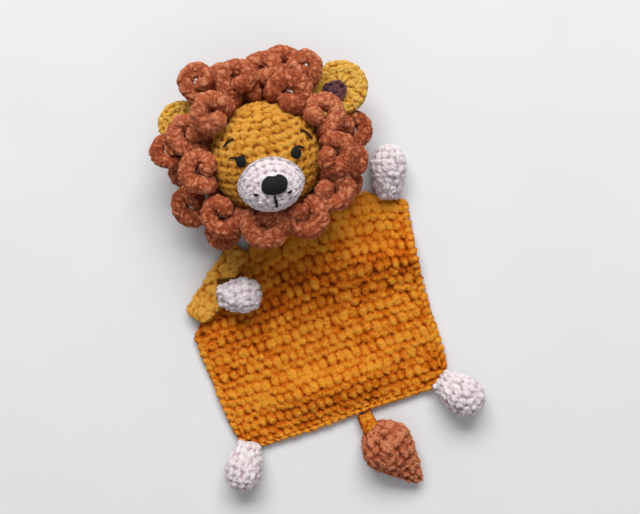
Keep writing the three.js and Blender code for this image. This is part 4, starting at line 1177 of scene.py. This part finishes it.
def eye(side):
    def place(u, v):
        length, ring, c, s = on_ball(u, v)
        x, y = (at + half * ring * way for at, half, way in zip(EYES[side], EYE_HALF, (c, s)))
        flat = skin(HEAD_SIZES, x, y)
        off = 0.8 + np.where(length < 0, -length * EYE_OUT, -0.3)
        return on_head(flat * (1 + off / np.linalg.norm(flat, axis=1))[:, None])

    black_piece(bent_grids(f"eye_{side}_dome", (place,), 40, 24), f"eye_{side}")


nose()
eye("left")
eye("right")


# %% Strands
def strand(name, line, replaced, knots, thick):
    """A strand along places in the head's frame, with small knots at shares of its length."""
    def radius_at(start, end):
        share = start / np.maximum(start + end, 1e-6)
        knot = sum(0.45 * np.exp(-((share - at) / 0.12) ** 2) for at in knots)
        return round_end(np.minimum(start, end), thick, thick) * (1 + knot)

    black_piece(tube_grid(name, line, radius_at, 40, 12), replaced)


def muzzle_line(places):
    return muzzle_to_head(skin(MUZZLE_SIZES, *(np.array(places) * MUZZLE_SIZES[:2]).T, 1.2))


def head_line(places):
    return skin(HEAD_SIZES, *np.array(places).T, 1.4)


mouth = [(0.04 + 0.02 * math.sin(3 * t), 0.26 - 0.5 * t) for t in np.linspace(0, 1, 5)]
strand("mouth_strand", muzzle_line(mouth), "mouth_thread", (0.5, 1.0), 1.05)
for side, x, y, reach in (("left", -0.46, 0.36, 0.07), ("right", 0.49, 0.22, -0.07)):
    corner = [(x - reach, y + 0.02), (x, y - 0.02), (x + reach, y + 0.02)]
    strand(f"mouth_corner_{side}_stitch", muzzle_line(corner), f"mouth_corner_{side}", (0.5,), 0.9)
LASHES = {"left": [(-23.6, -0.2), (-27, 1.6), (-30.4, 1.6)], "right": [(25.6, -0.8), (30, 0.6), (34.4, -1.6)]}
BROWS = {"left": [(-22.8, 17.4), (-28.6, 16.2), (-33.4, 12.4)],
         "right": [(34.0, 14.8), (39.4, 11.6), (43, 5.4)]}
for side in ("left", "right"):
    strand(f"lash_{side}", head_line(LASHES[side]), f"eyelash_{side}", (0.0,), 0.8)
    strand(f"brow_{side}", head_line(BROWS[side]), f"eyebrow_{side}", (), 0.9)

# %% [markdown]
# ## Fibrefill
# Loose polyester wads fill the head, muzzle, paws and tuft. Nobody sees them, but they are pieces of the
# toy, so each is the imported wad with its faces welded, divided once and tousled inwards.

# %% Wads
FILLED = {"head_filling": "head", "muzzle_filling": "head", "tail_filling": "tuft"}
FILLED.update({f"paw_{name}_filling": f"{name}_paw" for name in ("left_arm", *CORNER_PAWS)})
TOUSLE, TANGLE = 1.2 * MM, 6 * MM


def wad(filling, body):
    bm = bmesh.new()
    bm.from_mesh(NODES[filling].data)
    bmesh.ops.remove_doubles(bm, verts=bm.verts, dist=1e-5)
    bmesh.ops.subdivide_edges(bm, edges=bm.edges, cuts=1, use_grid_fill=True, smooth=0.0)
    for vert in bm.verts:
        vert.co -= vert.normal * (0.5 + 0.5 * noise.noise(vert.co / TANGLE)) * TOUSLE
    handed_in(mesh_of(bm, filling.replace("filling", "wad")), FIBRE, body, filling)


for filling, body in FILLED.items():
    wad(filling, body)
print("wads", len(FILLED), "CAD nodes", len(NODES))
